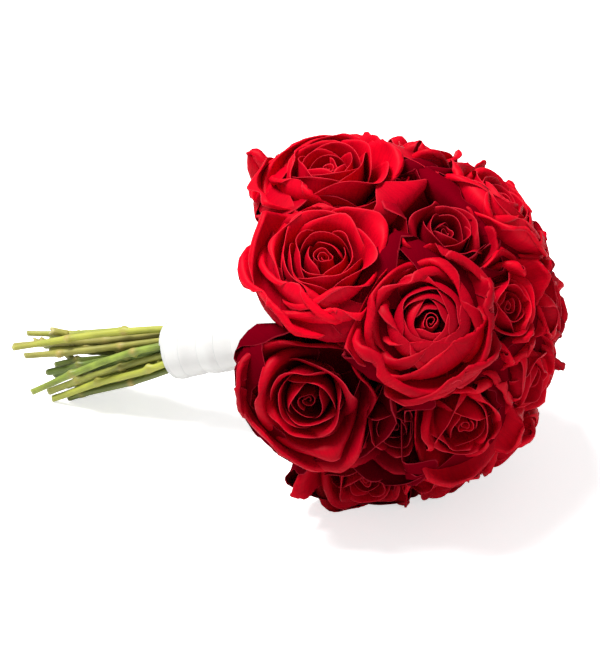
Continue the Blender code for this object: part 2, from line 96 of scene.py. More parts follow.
# Stems
STEM_RADIUS = 2.25 * MM
SEAT_GAP = 0.3 * MM
STEM_MARGIN = 0.9 * MM
LOWER_MARGIN = 0.3 * MM
HIP_ROOM = 9 * MM
STEM_END_SWELL = 1.05
WAIST = 116 * MM
FLARE_LENGTH = 64 * MM
TWIST = -np.radians(400)
# A stem strays about so far at its cut end, half-way to the tie and in it
STRAYS = (2.6 * MM, 1.7 * MM, 0)
PACKING_ROUNDS = 4000  # of drawing the sheaf together
PACKING_PULL = 0.9995  # by this factor each
BENDING_ROUNDS = 160  # of moving the stems clear of each other
BENDING_STEP = 0.25  # by this share of what they lack
STEM_SIDES = 14
BARE_LENGTH = 118 * MM  # of a stem, from its cut end to well under the ribbon
HIP_RADIUS = 4.6 * MM
HIP_LENGTH = 9 * MM
SEPALS = 5
KNOT_SPACING = 34 * MM

# Ribbon
RIBBON_FROM = 152 * MM  # its lower edge, from the dome's centre, 4 mm short of the CAD model's sleeve
RIBBON_TO = 65 * MM
FIRST_TURNS = 3.2  # turns that lie almost on each other
FIRST_STEP = 1.1 * MM  # each a little further from the cut ends
LAST_TURN = 1.15  # and at the other end
RIBBON_END = 54 * MM  # the last turn widens towards the blooms, beyond the CAD model's sleeve
RIBBON_SPREAD = 0.5
TIE_WIDTH = 12 * MM
TIE_WALL = 0.8 * MM

# Colours that no setting changes
FIBRE_COLOUR = (0.42, 0.42, 0.12, 1)
HIP_COLOUR = (0.10, 0.20, 0.04, 1)
CUT_COLOUR = (0.62, 0.60, 0.34, 1)
# Painted shade: a thin grey line along the ribbon's edges, where a turn's edge meets the turn below
EDGE_SHADE_COLOUR = (0.42, 0.43, 0.42, 1)
TABLE_COLOURS = ((0.95, 0.95, 0.95, 1), (0.93, 0.93, 0.93, 1))
TABLE_GLOW = 0.62  # lights the table in the camera's eyes only, as an overexposed white

# The photograph: its height and where the dome's centre is in it, right of the middle and above it, in pixels
PHOTO_HEIGHT = 667
DOME_IN_PHOTO = (85, 13.5)
SENSOR = 36  # millimetres, along the height

# Where each bloom sits on the dome, as in the CAD model: angles in degrees, lengths in millimetres
Rose = namedtuple("Rose", "polar clock reach radius opening face_polar face_clock cut")
ROSES = (
    Rose(90, 82, 94, 50, 1.0, 68, 82, 252),
    Rose(83, 43, 95, 49, 1.0, 65, 58, 248),
    Rose(50, 18, 100, 50, 1.0, 55, 36, 250),
    Rose(97, 0, 92, 46, 0.8, 72, 4, 251),
    Rose(101, -54, 89, 40, 0.8, 76, -26, 240),
    Rose(51, -33, 92, 43, 0.85, 56, -22, 241),
    Rose(34, 117, 92, 46, 1.0, 45, 112, 244),
    Rose(42, 67, 83, 38, 0.8, 48, 66, 243),
    Rose(71, 121, 88, 42, 0.85, 69, 119, 267),
    Rose(109, 117, 95, 44, 0.9, 90, 117, 259),
    Rose(16, 18, 87, 38, 0.8, 24, 22, 248),
    Rose(15, 214, 89, 40, 0.85, 22, 205, 250),
    Rose(27, -62, 89, 40, 0.85, 36, -68, 242),
    Rose(57, -87, 95, 39, 0.8, 59, -85, 244),
    Rose(78, -70, 90, 38, 0.75, 76, -60, 243),
    Rose(37, 168, 89, 41, 0.85, 46, 168, 252),
    Rose(73, -22, 81, 36, 0.75, 72, -16, 241),
    Rose(80, 163, 92, 43, 0.9, 73, 165, 260),
    Rose(52, 222, 91, 41, 0.85, 53, 222, 249),
    Rose(80, 205, 92, 43, 0.9, 74, 205, 246),
    Rose(82, 243, 90, 41, 0.85, 76, 243, 244),
    Rose(104, -93, 87, 38, 0.75, 88, -92, 241),
    Rose(108, 185, 87, 40, 0.85, 92, 185, 250),
)

# The stems in sight: how yellow, tan and dark each is, the dark partly a riper green and partly painted
# shade, how much thinner its cut end is, how far its knots are from the cut in millimetres, and which of them
# carries the stub of a branch, with its size
StemLook = namedtuple("StemLook", "yellow tan dark taper knots stub")
STEM_LOOKS = {
    1: StemLook(0.5, 0.75, 0.0, 0.12, (24, 66), None),
    2: StemLook(0.15, 0.0, 0.0, 0.10, (31, 77), None),
    3: StemLook(0.3, 0.6, 0.15, 0.0, (26, 62), None),
    4: StemLook(0.9, 0.0, 0.0, 0.0, (43, 84), None),
    5: StemLook(0.2, 0.0, 0.25, 0.0, (40, 70), None),
    8: StemLook(0.0, 0.1, 0.8, 0.0, (24, 60), None),
    9: StemLook(0.4, 0.9, 0.0, 0.16, (21, 66), (0, 0.7)),
    10: StemLook(1.0, 0.0, 0.0, 0.2, (39, 78), None),
    11: StemLook(0.0, 0.1, 0.9, 0.0, (20, 55), None),
    12: StemLook(0.1, 0.2, 0.7, 0.0, (17, 52), (0, 1.0)),
    17: StemLook(0.1, 0.7, 0.85, 0.0, (12, 55), (0, 0.8)),
    18: StemLook(0.6, 0.15, 0.0, 0.18, (30, 68), (0, 1.35)),
}

CENTRE = np.array([DOME_AHEAD, DOME_ASIDE, DOME_HEIGHT])
CROWN = np.array([np.cos(AXIS_RISE), 0, np.sin(AXIS_RISE)])
OVER = np.array([-np.sin(AXIS_RISE), 0, np.cos(AXIS_RISE)])
NEAR = np.array([0, -1.0, 0])

# How far a petal leans out from its bloom's axis, in degrees, at four stations from root to tip
LEAN_STATIONS = (0.0, 0.38, 0.72, 1.0)
LEAN_BUD = (66, 6, -9, -32)
LEAN_MIDDLE = (74, 28, 12, 70)
LEAN_OUTSIDE = (82, 58, 62, 128)

Head = namedtuple("Head", "centre base frame radius opening cut number")
Petal = namedtuple(
    "Petal",
    "turn length width angles flatness roll wave point root_out root_up tilt phase "
    "fold_slope fold_start fold_radius",
)


def smooth(x):
    """0 below 0, 1 above 1, and an S-curve between."""
    x = np.clip(x, 0, 1)
    return x * x * (3 - 2 * x)


def turned_by(x, y, angle):
    """The x and y of points after a turn by an angle."""
    return x * np.cos(angle) - y * np.sin(angle), x * np.sin(angle) + y * np.cos(angle)


def circle(angle, first, second):
    """Points of a unit circle at angles: the cosine times the first way plus the sine times the second."""
    return np.cos(angle)[..., None] * first + np.sin(angle)[..., None] * second


def above_floor(points):
    """The points, of which those that are too low are raised to the surface."""
    points[..., 2] = np.maximum(points[..., 2], FLOOR_CLEARANCE)
    return points


def direction(polar, clock):
    """The unit vector at an angle from the crown and an angle round the axis, both in degrees."""
    polar, clock = np.radians(polar), np.radians(clock)
    return CROWN * np.cos(polar) + (NEAR * np.cos(clock) + OVER * np.sin(clock)) * np.sin(polar)


def head_of(rose, number):
    """The centre, base and axes of a bloom: its own z is the way it looks."""
    look = direction(rose.face_polar, rose.face_clock)
    side = CROWN if abs(look @ CROWN) < 0.95 else OVER
    x = side - look * (side @ look)
    x /= np.linalg.norm(x)
    radius = rose.radius * MM
    centre = CENTRE + direction(rose.polar, rose.clock) * rose.reach * MM
    axes = np.stack([x, np.cross(look, x), look], axis=1)
    base = centre - look * HEAD_OVER_BASE * radius
    return Head(centre, base, axes, radius, rose.opening, rose.cut * MM, number)


def walls_round(head, heads, gap):
    """The planes between this bloom and the others, as (normal, reach) from its centre.

    They lie half-way, and further from the larger of two blooms.
    """
    walls = []
    for other in heads:
        if other.number == head.number:
            continue
        across = other.centre - head.centre
        length = np.linalg.norm(across)
        share = length**2 + 0.8 * (head.radius**2 - other.radius**2)
        walls.append((across / length, share / (2 * length) - gap / 2))
    return walls


def pressed(points, head, walls, dome=LIMIT_RADIUS, free_reach=None):
    """Points drawn in towards the bloom's centre, so that none passes a wall: near it they crowd together.

    A point at a length out from the centre goes to length / (1 + (length / room)^5)^(1/5), where room is
    the way to the nearest wall or to the limit's sphere in the point's direction. Where neither is near and
    a free reach is given, room goes over to that.
    """
    out = points - head.centre
    length = np.maximum(np.linalg.norm(out, axis=-1, keepdims=True), 1e-9)
    way = out / length
    room = np.full(length.shape[:-1], 10.0)
    for normal, reach in walls:
        towards = way @ normal
        room = np.minimum(room, np.where(towards > 1e-3, reach / np.maximum(towards, 1e-3), 10.0))
    place = head.centre - CENTRE + CROWN * LIMIT_BACK
    outward = way @ place
    to_limit = np.sqrt(outward**2 + dome**2 - place @ place) - outward
    room = np.minimum(room, to_limit)
    if free_reach:
        room = room + (free_reach - room) * smooth((room / head.radius - 1.2) / 0.3)
    room = room[..., None]
    return head.centre + way * length / (1 + (length / room) ** FIRMNESS) ** (1 / FIRMNESS)


def in_place(points, head, walls, dome=LIMIT_RADIUS, free_reach=None):
    """Points of a bloom moved to where it grows, inside its walls and above the surface below."""
    return above_floor(pressed(head.base + points @ head.frame.T, head, walls, dome, free_reach))


# Meshes


Part = namedtuple("Part", "points quads uv marks")


def blade(sheet, u, v, half, marks):
    """A closed thin blade from a grid of points.

    Each point goes half the thickness to both sides along the grid's normal, the cross product of its two
    tangents. The border stays, and both sides share it. marks are values for the whole blade or for each
    point.
    """
    rows, columns = u.shape
    normal = np.cross(np.gradient(sheet, axis=1), np.gradient(sheet, axis=0))
    normal /= np.maximum(np.linalg.norm(normal, axis=-1, keepdims=True), 1e-12)
    inner = np.zeros((rows, columns), bool)
    inner[1:-1, 1:-1] = True
    offset = normal * half * inner[..., None]
    first = np.arange(rows * columns).reshape(rows, columns)
    second = first.copy()
    second[inner] = rows * columns + np.arange(inner.sum())
    points = np.concatenate([(sheet + offset).reshape(-1, 3), (sheet - offset)[inner]])
    quads = np.concatenate(
        [
            np.stack([first[:-1, :-1], first[:-1, 1:], first[1:, 1:], first[1:, :-1]], -1).reshape(-1, 4),
            np.stack([second[:-1, :-1], second[1:, :-1], second[1:, 1:], second[:-1, 1:]], -1).reshape(-1, 4),
        ]
    )
    uv = np.stack([u, v], -1)
    uv = np.concatenate([uv.reshape(-1, 2), uv[inner]])
    spread = {"back": np.where(np.arange(len(points)) < rows * columns, 1.0, 0.0)}
    for name, value in marks.items():
        value = np.broadcast_to(value, (rows, columns))
        spread[name] = np.concatenate([value.reshape(-1), value[inner]])
    return Part(points, quads, uv, spread)


def tube_part(rings, u, v, marks):
    """A closed tube from rings of points, whose first and last rings have shrunk to the middle of its ends.

    Quad i of a ring joins its points i and i + 1 with those of the next ring, and the last joins the first.
    """
    count, sides = rings.shape[:2]
    place = np.arange(count * sides).reshape(count, sides)
    after = np.roll(place, -1, axis=1)
    quads = np.stack([place[:-1], after[:-1], after[1:], place[1:]], -1).reshape(-1, 4)
    spread = {name: np.broadcast_to(value, (count, sides)).reshape(-1) for name, value in marks.items()}
    uv = np.stack([np.broadcast_to(u, (count, sides)), np.broadcast_to(v, (count, sides))], -1).reshape(-1, 2)
    return Part(rings.reshape(-1, 3), quads, uv, spread)


def add_piece(name, parts, finish):
    """One mesh object from the parts, with a UV map and an attribute for each mark."""
    starts = np.cumsum([0] + [len(part.points) for part in parts[:-1]])
    points = np.concatenate([part.points for part in parts])
    quads = np.concatenate([part.quads + start for part, start in zip(parts, starts)])
    uv = np.concatenate([part.uv for part in parts])
    mesh = bpy.data.meshes.new(name)
    mesh.vertices.add(len(points))
    mesh.vertices.foreach_set("co", points.astype(np.float32).reshape(-1))
    mesh.loops.add(quads.size)
    mesh.loops.foreach_set("vertex_index", quads.astype(np.int32).reshape(-1))
    mesh.polygons.add(len(quads))
    mesh.polygons.foreach_set("loop_start", np.arange(0, quads.size, 4, dtype=np.int32))
    mesh.update(calc_edges=True)
    layer = mesh.uv_layers.new(name="surface")
    layer.uv.foreach_set("vector", uv[quads.reshape(-1)].astype(np.float32).reshape(-1))
    for mark in parts[0].marks:
        values = np.concatenate([part.marks[mark] for part in parts])
        attribute = mesh.attributes.new(mark, "FLOAT", "POINT")
        attribute.data.foreach_set("value", values.astype(np.float32))
    mesh.shade_smooth()
    mesh.materials.append(finish)
    piece = bpy.data.objects.new(name, mesh)
    bpy.context.scene.collection.objects.link(piece)
    return piece


def stand_for(piece, node):
    """The piece moves with the bouquet and replaces the CAD node."""
    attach(piece, "root")
    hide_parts(node)


# Blooms


def angles_of(layer, less=0.0):
    """Lean at the four stations for a layer from bud (0) to outside (1): a parabola over the layers at each.

    The tip leans less than that by the given number of degrees.
    """
    layer = np.clip(layer, -0.1, 1.35)
    angles = [
        2 * bud * (layer - 0.5) * (layer - 1)
        - 4 * middle * layer * (layer - 1)
        + 2 * outside * layer * (layer - 0.5)
        for bud, middle, outside in zip(LEAN_BUD, LEAN_MIDDLE, LEAN_OUTSIDE)
    ]
    angles[-1] = angles[-1] - less
    return angles


def lean(along, at_station):
    """The lean in radians at a share of the petal's length, eased from station to station."""
    angle = at_station[0]
    for i in range(len(LEAN_STATIONS) - 1):
        share = smooth((along - LEAN_STATIONS[i]) / (LEAN_STATIONS[i + 1] - LEAN_STATIONS[i]))
        angle = angle + (at_station[i + 1] - at_station[i]) * share
    return np.radians(angle)


def rolled_back(across, along, petal):
    """A flat petal's margins rolled back round two slanting lines that meet at its tip.

    A point at a distance d beyond a line goes round a cylinder that touches the line: along the flat petal
    it comes to radius * sin(d / radius), and behind it to radius * (1 - cos(d / radius)).
    """
    side = np.sign(across)
    slope = np.where(across < 0, petal.fold_slope[0], petal.fold_slope[1])
    beyond = np.abs(across) * np.sin(slope) + (along - petal.fold_start * petal.length) * np.cos(slope)
    beyond = np.clip(beyond, 0, None)
    turned = np.minimum(beyond / petal.fold_radius, np.radians(200))
    rest = beyond - turned * petal.fold_radius
    forward = petal.fold_radius * np.sin(turned) + rest * np.cos(turned)
    behind = petal.fold_radius * (1 - np.cos(turned)) + rest * np.sin(turned)
    back_in = beyond - forward
    across = side * np.maximum(np.abs(across) - np.sin(slope) * back_in, 0)
    return across, along - np.cos(slope) * back_in, behind


def petal_sheet(petal, columns, rows):
    """The middle surface of a petal in the bloom's own frame, as rows of points from root to rim.

    The flat petal is u times half its width, which swells from the root, and v times its length, shorter at
    the sides. Its margins are rolled back. Then each point runs out from the hip by adding up short steps
    at its lean angle, which grows towards the sides, and its row is bent round the bloom's axis.
    """
    u, v = np.meshgrid(columns, rows)
    rim = 1 - 0.36 * np.abs(u) ** 2.6 + petal.point * np.exp(-((u / 0.28) ** 2))
    rim += petal.wave * (0.5 * np.sin(3.1 * u + petal.phase[0]) + 0.35 * np.sin(6.7 * u + petal.phase[1]))
    shape = (0.24 + 0.76 * np.sin(np.pi / 2 * v**0.85) ** 1.15) * (1 - 0.10 * smooth((v - 0.75) / 0.25))
    across, along, behind = rolled_back(u * shape * petal.width / 2, v * rim * petal.length, petal)
    side = across / (petal.width / 2)
    share = along / petal.length
    change = 0.022 * side + petal.roll * np.abs(side) ** 2.5 * smooth((share - 0.35) / 0.65)
    change += petal.wave * 1.6 * np.sin(2.6 * side + petal.phase[2]) * smooth((share - 0.4) / 0.6)
    change += petal.wave * 0.9 * np.sin(6.0 * side + petal.phase[3]) * smooth((share - 0.6) / 0.4)
    at_station = petal.angles(change)
    ladder = np.linspace(0, 1, 25)[:, None, None] * share[None]
    angle = lean(ladder, at_station) + petal.tilt * smooth(ladder / 0.6)
    step = np.diff(ladder, axis=0) * petal.length
    out = (0.5 * (np.sin(angle[1:]) + np.sin(angle[:-1])) * step).sum(axis=0)
    up = (0.5 * (np.cos(angle[1:]) + np.cos(angle[:-1])) * step).sum(axis=0)
    out = np.maximum(out + petal.root_out, 0.8 * MM)
    bend = out * (1 + petal.flatness) + 0.5 * MM
    round_axis = across / bend
    tip = angle[-1]
    x = out - bend * (1 - np.cos(round_axis)) + behind * np.cos(tip) * np.cos(round_axis)
    y = bend * np.sin(round_axis) + behind * np.cos(tip) * np.sin(round_axis)
    z = up + petal.root_up - behind * np.sin(tip)
    return np.stack([*turned_by(x, y, petal.turn), z], axis=-1), u, v


@cache
def rims_by_layer():
    """How far out and up the rim of a petal of length 1 comes, for layers from the bud's to the outside's."""
    layers = np.linspace(-0.1, 1.1, 61)
    along = np.linspace(0, 1, 49)
    angles = np.array([lean(along, angles_of(layer)) for layer in layers])
    out, up = np.sin(angles), np.cos(angles)
    return layers, *((part[:, 1:] + part[:, :-1]).mean(axis=1) / 2 for part in (out, up))


def petal_to(out, up):
    """The layer and length of the petal whose rim comes so far out from its root and so far up."""
    layers, rim_out, rim_up = rims_by_layer()
    layer = np.interp(out / up, rim_out / rim_up, layers)
    return layer, up / np.interp(layer, layers, rim_up)


def petals_of(head):
    """The petals of a bloom from the bud outwards. The outermost five have the CAD model's places and sizes.

    The rims of the others stand at radii that grow evenly from petal to petal, the highest a third of the
    way out.
    """
    spin = head.number * 1.3
    curl = CURLS.get(head.number, 1.0)
    count = INNER_PETALS[head.opening > 0.9]
    petals = []
    for k in (*np.linspace(0, LAST_INNER, count), *OUTER_PETALS):
        draw = np.random.default_rng([head.number, int(2 * k) + 100 if k <= LAST_INNER else k])
        jitter = draw.normal(0, 1, 4)
        phase = draw.uniform(0, 2 * np.pi, 4)
        point = draw.uniform(-0.6, 1)
        more = draw.uniform(0, 1, 4)
        t = (k + 0.5) / PETALS
        scale = head.radius / STANDARD_RADIUS * (1.08 + OUTER_GROWTH * smooth((t - 0.45) / 0.45))
        root_out, root_up = 2.6 + 3.0 * t, 3.0 - 3.0 * t + 1.0 / scale
        if k in OUTER_PETALS:
            length = 33 + 26 * t + 1.3 * jitter[1]
            layer = 0.02 + 0.98 * t**1.05 * head.opening
            turn = spin + (k - OUTER_PETALS[0]) * OUTER_TURN
            tilt = 2 * jitter[3]
        else:
            q = k / LAST_INNER
            rim_out = (6.2 + 33 * head.opening**2 * q**1.1) * (1 + 0.035 * jitter[1])
            rim_up = 30.5 + 5 * smooth(q / 0.35) - 2.5 * smooth((q - 0.4) / 0.6) + 0.7 * jitter[3]
            layer, length = petal_to(rim_out - root_out, rim_up - root_up)
            turn = spin + (OUTER_PETALS[0] - k * (count - 1) / LAST_INNER) * -INNER_TURN + 0.16 * jitter[0]
            tilt = 0
        opened = smooth((t * head.opening - 0.3) / 0.5)
        less = opened * (8 + 34 * draw.uniform())
        petals.append(
            Petal(
                turn=turn,
                length=scale * MM * length,
                width=scale * MM * (24 + 52 * t**0.85 + 9 * np.sin(np.pi * t)) * (1 + 0.06 * jitter[2]),
                angles=lambda change, layer=layer, less=less: angles_of(layer + change, less),
                flatness=0.1 + 0.45 * smooth((t - 0.55) / 0.45),
                roll=0.05 + 0.13 * smooth((t - 0.3) / 0.7),
                wave=0.015 + 0.05 * t,
                point=(0.05 + 0.03 * t) * point + 0.07 * curl * opened,
                root_out=scale * MM * root_out,
                root_up=scale * MM * root_up,
                tilt=np.radians(tilt),
                phase=phase,
                fold_slope=np.radians([24 + 26 * more[0] + 16 * curl, 24 + 26 * more[3] + 16 * curl]),
                fold_start=1.22 - (0.17 + 0.09 * curl + 0.08 * more[1]) * opened,
                fold_radius=(3.2 - 1.6 * opened + 1.5 * more[2]) * MM,
            )
        )
    return petals


def guards_of(head):
    """Low, wide petals under the others, that spread until they meet those of the neighbours."""
    guards = []
    for i in range(GUARD_PETALS):
        draw = np.random.default_rng([head.number, 60 + i])
        jitter = draw.normal(0, 1, 4)
        scale = head.radius / STANDARD_RADIUS
        guards.append(
            Petal(
                turn=head.number * 1.3 + 0.6 + (i + 0.12 * jitter[0]) * 2 * np.pi / GUARD_PETALS,
                length=scale * MM * (94 + 3 * jitter[1]),
                width=scale * MM * (104 + 5 * jitter[2]),
                angles=lambda change: [station + 60 * change for station in GUARD_LEAN],
                flatness=0.15,
                roll=0.06,
                wave=0.05,
                point=0.03,
                root_out=4 * MM,
                root_up=0.6 * MM,
                tilt=np.radians(3 * jitter[3]),
                phase=draw.uniform(0, 2 * np.pi, 4),
                fold_slope=np.radians([35, 35]),
                fold_start=1.16,
                fold_radius=3 * MM,
            )
        )
    return guards


def bud_sheet(head):
    """The rolled heart of a bloom: a sheet wound about two turns, whose radius grows and closes in to the
    top.

    Its rings are a little oval, by a cosine of twice the angle.
    """
    scale = head.radius / STANDARD_RADIUS * 1.08
    draw = np.random.default_rng([head.number, 7])
    phase = draw.uniform(0, 2 * np.pi, 2)
    u, v = np.meshgrid(np.linspace(0, 1, 66), np.append(np.linspace(0, 0.985, 11), 1))
    angle = head.number * 1.3 + u * draw.uniform(1.7, 2.3) * 2 * np.pi
    height = 29 * scale * MM * (0.90 + 0.10 * u)
    height = height * (1 + 0.02 * np.sin(1.7 * angle + phase[0]) + 0.015 * np.sin(2.9 * angle + phase[1]))
    radius = scale * MM * (1.3 + 5.1 * u) * (1 - 0.315 * smooth((v - 0.45) / 0.55))
    radius = radius * (0.55 + 0.45 * smooth(v / 0.4))
    radius = radius * (1 + 0.10 * smooth((v - 0.93) / 0.07))
    radius = radius * (1 + 0.16 * np.cos(2 * angle + phase[0]) + 0.07 * np.sin(3.3 * angle + phase[1]))
    return np.stack([radius * np.cos(angle), radius * np.sin(angle), v * height], axis=-1), u, v


def edged(count, border):
    """Stations from 0 to 1 with one more close to each end, so that a blade's edge is a thin line."""
    return np.concatenate([[0], np.linspace(border, 1 - border, count), [1]])


def bloom_parts(head, walls, thickness):
    """The bud, the petals and the guard petals of one rose as closed blades."""
    draw = np.random.default_rng([head.number, 11])
    shade = PAINTED_SHADES.get(head.number, 0.5 * draw.uniform())
    curl = CURLS.get(head.number, 1.0)
    parts = []

    def keep(sheet, u, v, rim, tone, dome=LIMIT_RADIUS, free_reach=None, loose=0, beyond=0.0, least=0.0):
        """Adds a sheet as a blade in its place, so far beyond its walls and with at least so much painted
        shade.
        """
        shift = draw.uniform(*LOOSENESS) * loose + beyond
        own_walls = []
        for normal, reach in walls:
            normal = normal + draw.normal(0, WALL_TURN, 3) * loose
            own_walls.append((normal / np.linalg.norm(normal), reach + shift))
        placed = in_place(sheet, head, own_walls, dome, free_reach)
        # Painted shade: points nearer the dome's centre, deep in and between the blooms, are darker, the more
        # so on roses that lie in shade
        deep = 1 - smooth((np.linalg.norm(placed - CENTRE, axis=-1) - PAINTED_SHADE_BELOW) / PAINTED_SHADE_FADE)
        deep = np.maximum(deep * (0.3 + 0.7 * shade), least)
        # bloom carries the rose's own share of painted shade
        marks = {"rim": rim, "tone": tone, "deep": deep, "bloom": shade}
        parts.append(blade(placed, u, v, thickness / 2, marks))

    sheet, u, v = bud_sheet(head)
    keep(sheet, u, v, 1 - v, draw.uniform())
    rows = np.append(np.linspace(0, 0.985, 15), 1)
    petals = petals_of(head)
    for number, petal in enumerate(petals):
        wide = petal.width > 62 * head.radius / STANDARD_RADIUS * MM
        columns = 2 * edged(26 if wide else 16, 0.008) - 1
        sheet, u, v = petal_sheet(petal, columns, rows)
        rim = np.minimum(1 - np.abs(u), 1 - v)
        outer = number >= len(petals) - len(OUTER_PETALS)
        dome = LIMIT_RADIUS + draw.uniform(-5, 6 + 7 * curl) * MM if outer else LIMIT_RADIUS
        keep(sheet, u / 2 + 0.5, v, rim, draw.uniform(), dome, loose=outer)
    rows = np.append(np.linspace(0, 0.98, 11), 1)
    for petal in guards_of(head):
        sheet, u, v = petal_sheet(petal, 2 * edged(14, 0.01) - 1, rows)
        rim = np.minimum(1 - np.abs(u), 1 - v)
        reach = GUARD_REACH * head.radius
        # The guard petals carry painted shade, since they fill the shaded room between blooms
        depth = GUARD_SHADE_BY_ROSE.get(head.number, GUARD_SHADE_ELSEWHERE)
        keep(sheet, u / 2 + 0.5, v, rim, draw.uniform(), GUARD_LIMIT, reach, 1, GUARD_OVERLAP, depth)
    return parts


# Stems


def packed_stems(heads):
    """Places of the stems across the tie: each is drawn in on its bloom's side until the sheaf is tight."""
    spacing = 2 * STEM_RADIUS + SEAT_GAP
    aims = np.array([[(h.centre - CENTRE) @ NEAR, (h.centre - CENTRE) @ OVER] for h in heads])
    depth = np.array([(h.centre - CENTRE) @ CROWN for h in heads])
    polar = np.arctan2(np.linalg.norm(aims, axis=1), depth)
    places = aims / np.linalg.norm(aims, axis=1)[:, None] * (polar / polar.max())[:, None] * 3 * spacing
    for _ in range(PACKING_ROUNDS):
        places *= PACKING_PULL
        apart = places[:, None] - places[None]
        length = np.linalg.norm(apart, axis=-1) + np.eye(len(heads))
        push = np.clip(spacing - length, 0, None)
        np.fill_diagonal(push, 0)
        places += 0.5 * (apart / length[..., None] * push[..., None]).sum(axis=1)
    return places


def across_axis(place, back):
    """The point at a place across the axis, back from the dome's centre."""
    return CENTRE - CROWN * back + NEAR * place[0] + OVER * place[1]


def stem_route(head, place):
    """Points of a stem from its cut end to its bloom, and its thickness there as a share of STEM_RADIUS."""
    draw = np.random.default_rng([head.number, 7])
    points, swell = [], []
    for share, stray in zip((1.0, 0.5, 0.0), STRAYS):
        down = (head.cut - WAIST) * share
        turned = (place[0] + 1j * place[1]) * np.exp(1j * TWIST * down) * np.hypot(1, down / FLARE_LENGTH)
        turned += complex(*draw.normal(0, stray, 2))
        radius = STEM_RADIUS * (1 + (STEM_END_SWELL - 1) * share)
        point = across_axis((turned.real, turned.imag), WAIST + down)
        point[2] = max(point[2], radius)
        points.append(point)
        swell.append(radius / STEM_RADIUS)
    tied = points[-1]
    tip = head.base - head.frame[:, 2] * SEAT_GAP
    neck = tip - head.frame[:, 2] * HIP_LENGTH
    slant = 1j * TWIST * (place[0] + 1j * place[1])
    leaving = CROWN - NEAR * slant.real - OVER * slant.imag
    reach = np.linalg.norm(neck - tied)
    guides = (tied, tied + leaving * 0.42 * reach, neck - head.frame[:, 2] * 0.30 * reach, neck)
    for share in (0.3, 0.56, 0.8):
        rest = 1 - share
        weights = (rest**3, 3 * rest**2 * share, 3 * rest * share**2, share**3)
        points.append(sum(w * g for w, g in zip(weights, guides)))
        swell.append(1 - 0.1 * share)
    points += [neck, neck + head.frame[:, 2] * 0.45 * HIP_LENGTH, tip]
    swell += [1.0, HIP_RADIUS / STEM_RADIUS, 0.85 * HIP_RADIUS / STEM_RADIUS]
    return np.array(points), np.array(swell)


def bent_clear(routes):
    """Moves the bends below and above the tie until no two stems touch, and none touches another's hip."""
    tied, neck, hip = 2, 6, 7
    bends = np.array([points[: neck + 1] for points, _ in routes])
    thick = np.array([swell[: neck + 1] for _, swell in routes]) * STEM_RADIUS
    along = np.linspace(0, neck, 6 * neck + 1)
    weights = np.clip(1 - np.abs(along[:, None] - np.arange(neck + 1)), 0, 1)
    free = np.ones((neck + 1, 1))
    free[[tied, neck]] = 0
    hips = np.array([points[hip] for points, _ in routes])
    owner = np.repeat(np.arange(len(routes)), len(along))
    margin = STEM_MARGIN * np.clip(2 * (along - tied), 0, 1)
    margin += LOWER_MARGIN * np.clip(2 * (tied - along), 0, 1)
    need = (2 * thick @ weights.T + SEAT_GAP + margin).reshape(-1)
    for _ in range(BENDING_ROUNDS):
        samples = (weights @ bends).reshape(-1, 3)
        apart = samples[:, None] - samples[None]
        length = np.linalg.norm(apart, axis=-1) + 1e-9
        short = np.clip(np.minimum(need[:, None], need[None]) - length, 0, None)
        short[owner[:, None] == owner[None]] = 0
        push = (apart / length[..., None] * short[..., None]).sum(axis=1)
        apart = samples[:, None] - hips[None]
        length = np.linalg.norm(apart, axis=-1) + 1e-9
        short = np.clip(STEM_RADIUS + HIP_ROOM - length, 0, None)
        short[owner[:, None] == np.arange(len(routes))] = 0
        push += (apart / length[..., None] * short[..., None]).sum(axis=1)
        push = push.reshape(len(routes), len(along), 3)
        bends = bends + BENDING_STEP * free * np.einsum("sb,nsd->nbd", weights, push)
        bends[..., 2] = np.maximum(bends[..., 2], thick)
    return [(np.concatenate([b, p[neck + 1 :]]), swell) for (p, swell), b in zip(routes, bends)]


@cache
def heads_and_routes():
    """Every bloom's head with the route of its stem."""
    heads = [head_of(rose, number) for number, rose in enumerate(ROSES, start=1)]
    return heads, bent_clear([stem_route(head, place) for head, place in zip(heads, packed_stems(heads))])


def curve_through(points, values, at):
    """A smooth curve through points at distances along it: cubic spans with the points' mean slopes.

    Between two points the place is a cubic in the share f of the way: (1 - f)^2 (1 + 2 f) of the first, f^2
    (3 - 2 f) of the second, and the slopes at both times f (1 - f)^2 and -f^2 (1 - f) times the span's
    length.
    """
    place = np.cumsum(np.concatenate([[0], np.linalg.norm(np.diff(points, axis=0), axis=1)]))
    both = np.concatenate([points, values[:, None]], axis=1)
    slopes = np.gradient(both, place, axis=0)
    at = np.clip(at, 0, 1) * place[-1]
    i = np.clip(np.searchsorted(place, at, side="right") - 1, 0, len(place) - 2)
    span = (place[i + 1] - place[i])[:, None]
    f = (at[:, None] - place[i][:, None]) / span
    curve = (1 - f) ** 2 * (1 + 2 * f) * both[i] + f**2 * (3 - 2 * f) * both[i + 1]
    curve += f * (1 - f) ** 2 * span * slopes[i] - f**2 * (1 - f) * span * slopes[i + 1]
    return curve[:, :3], curve[:, 3], at


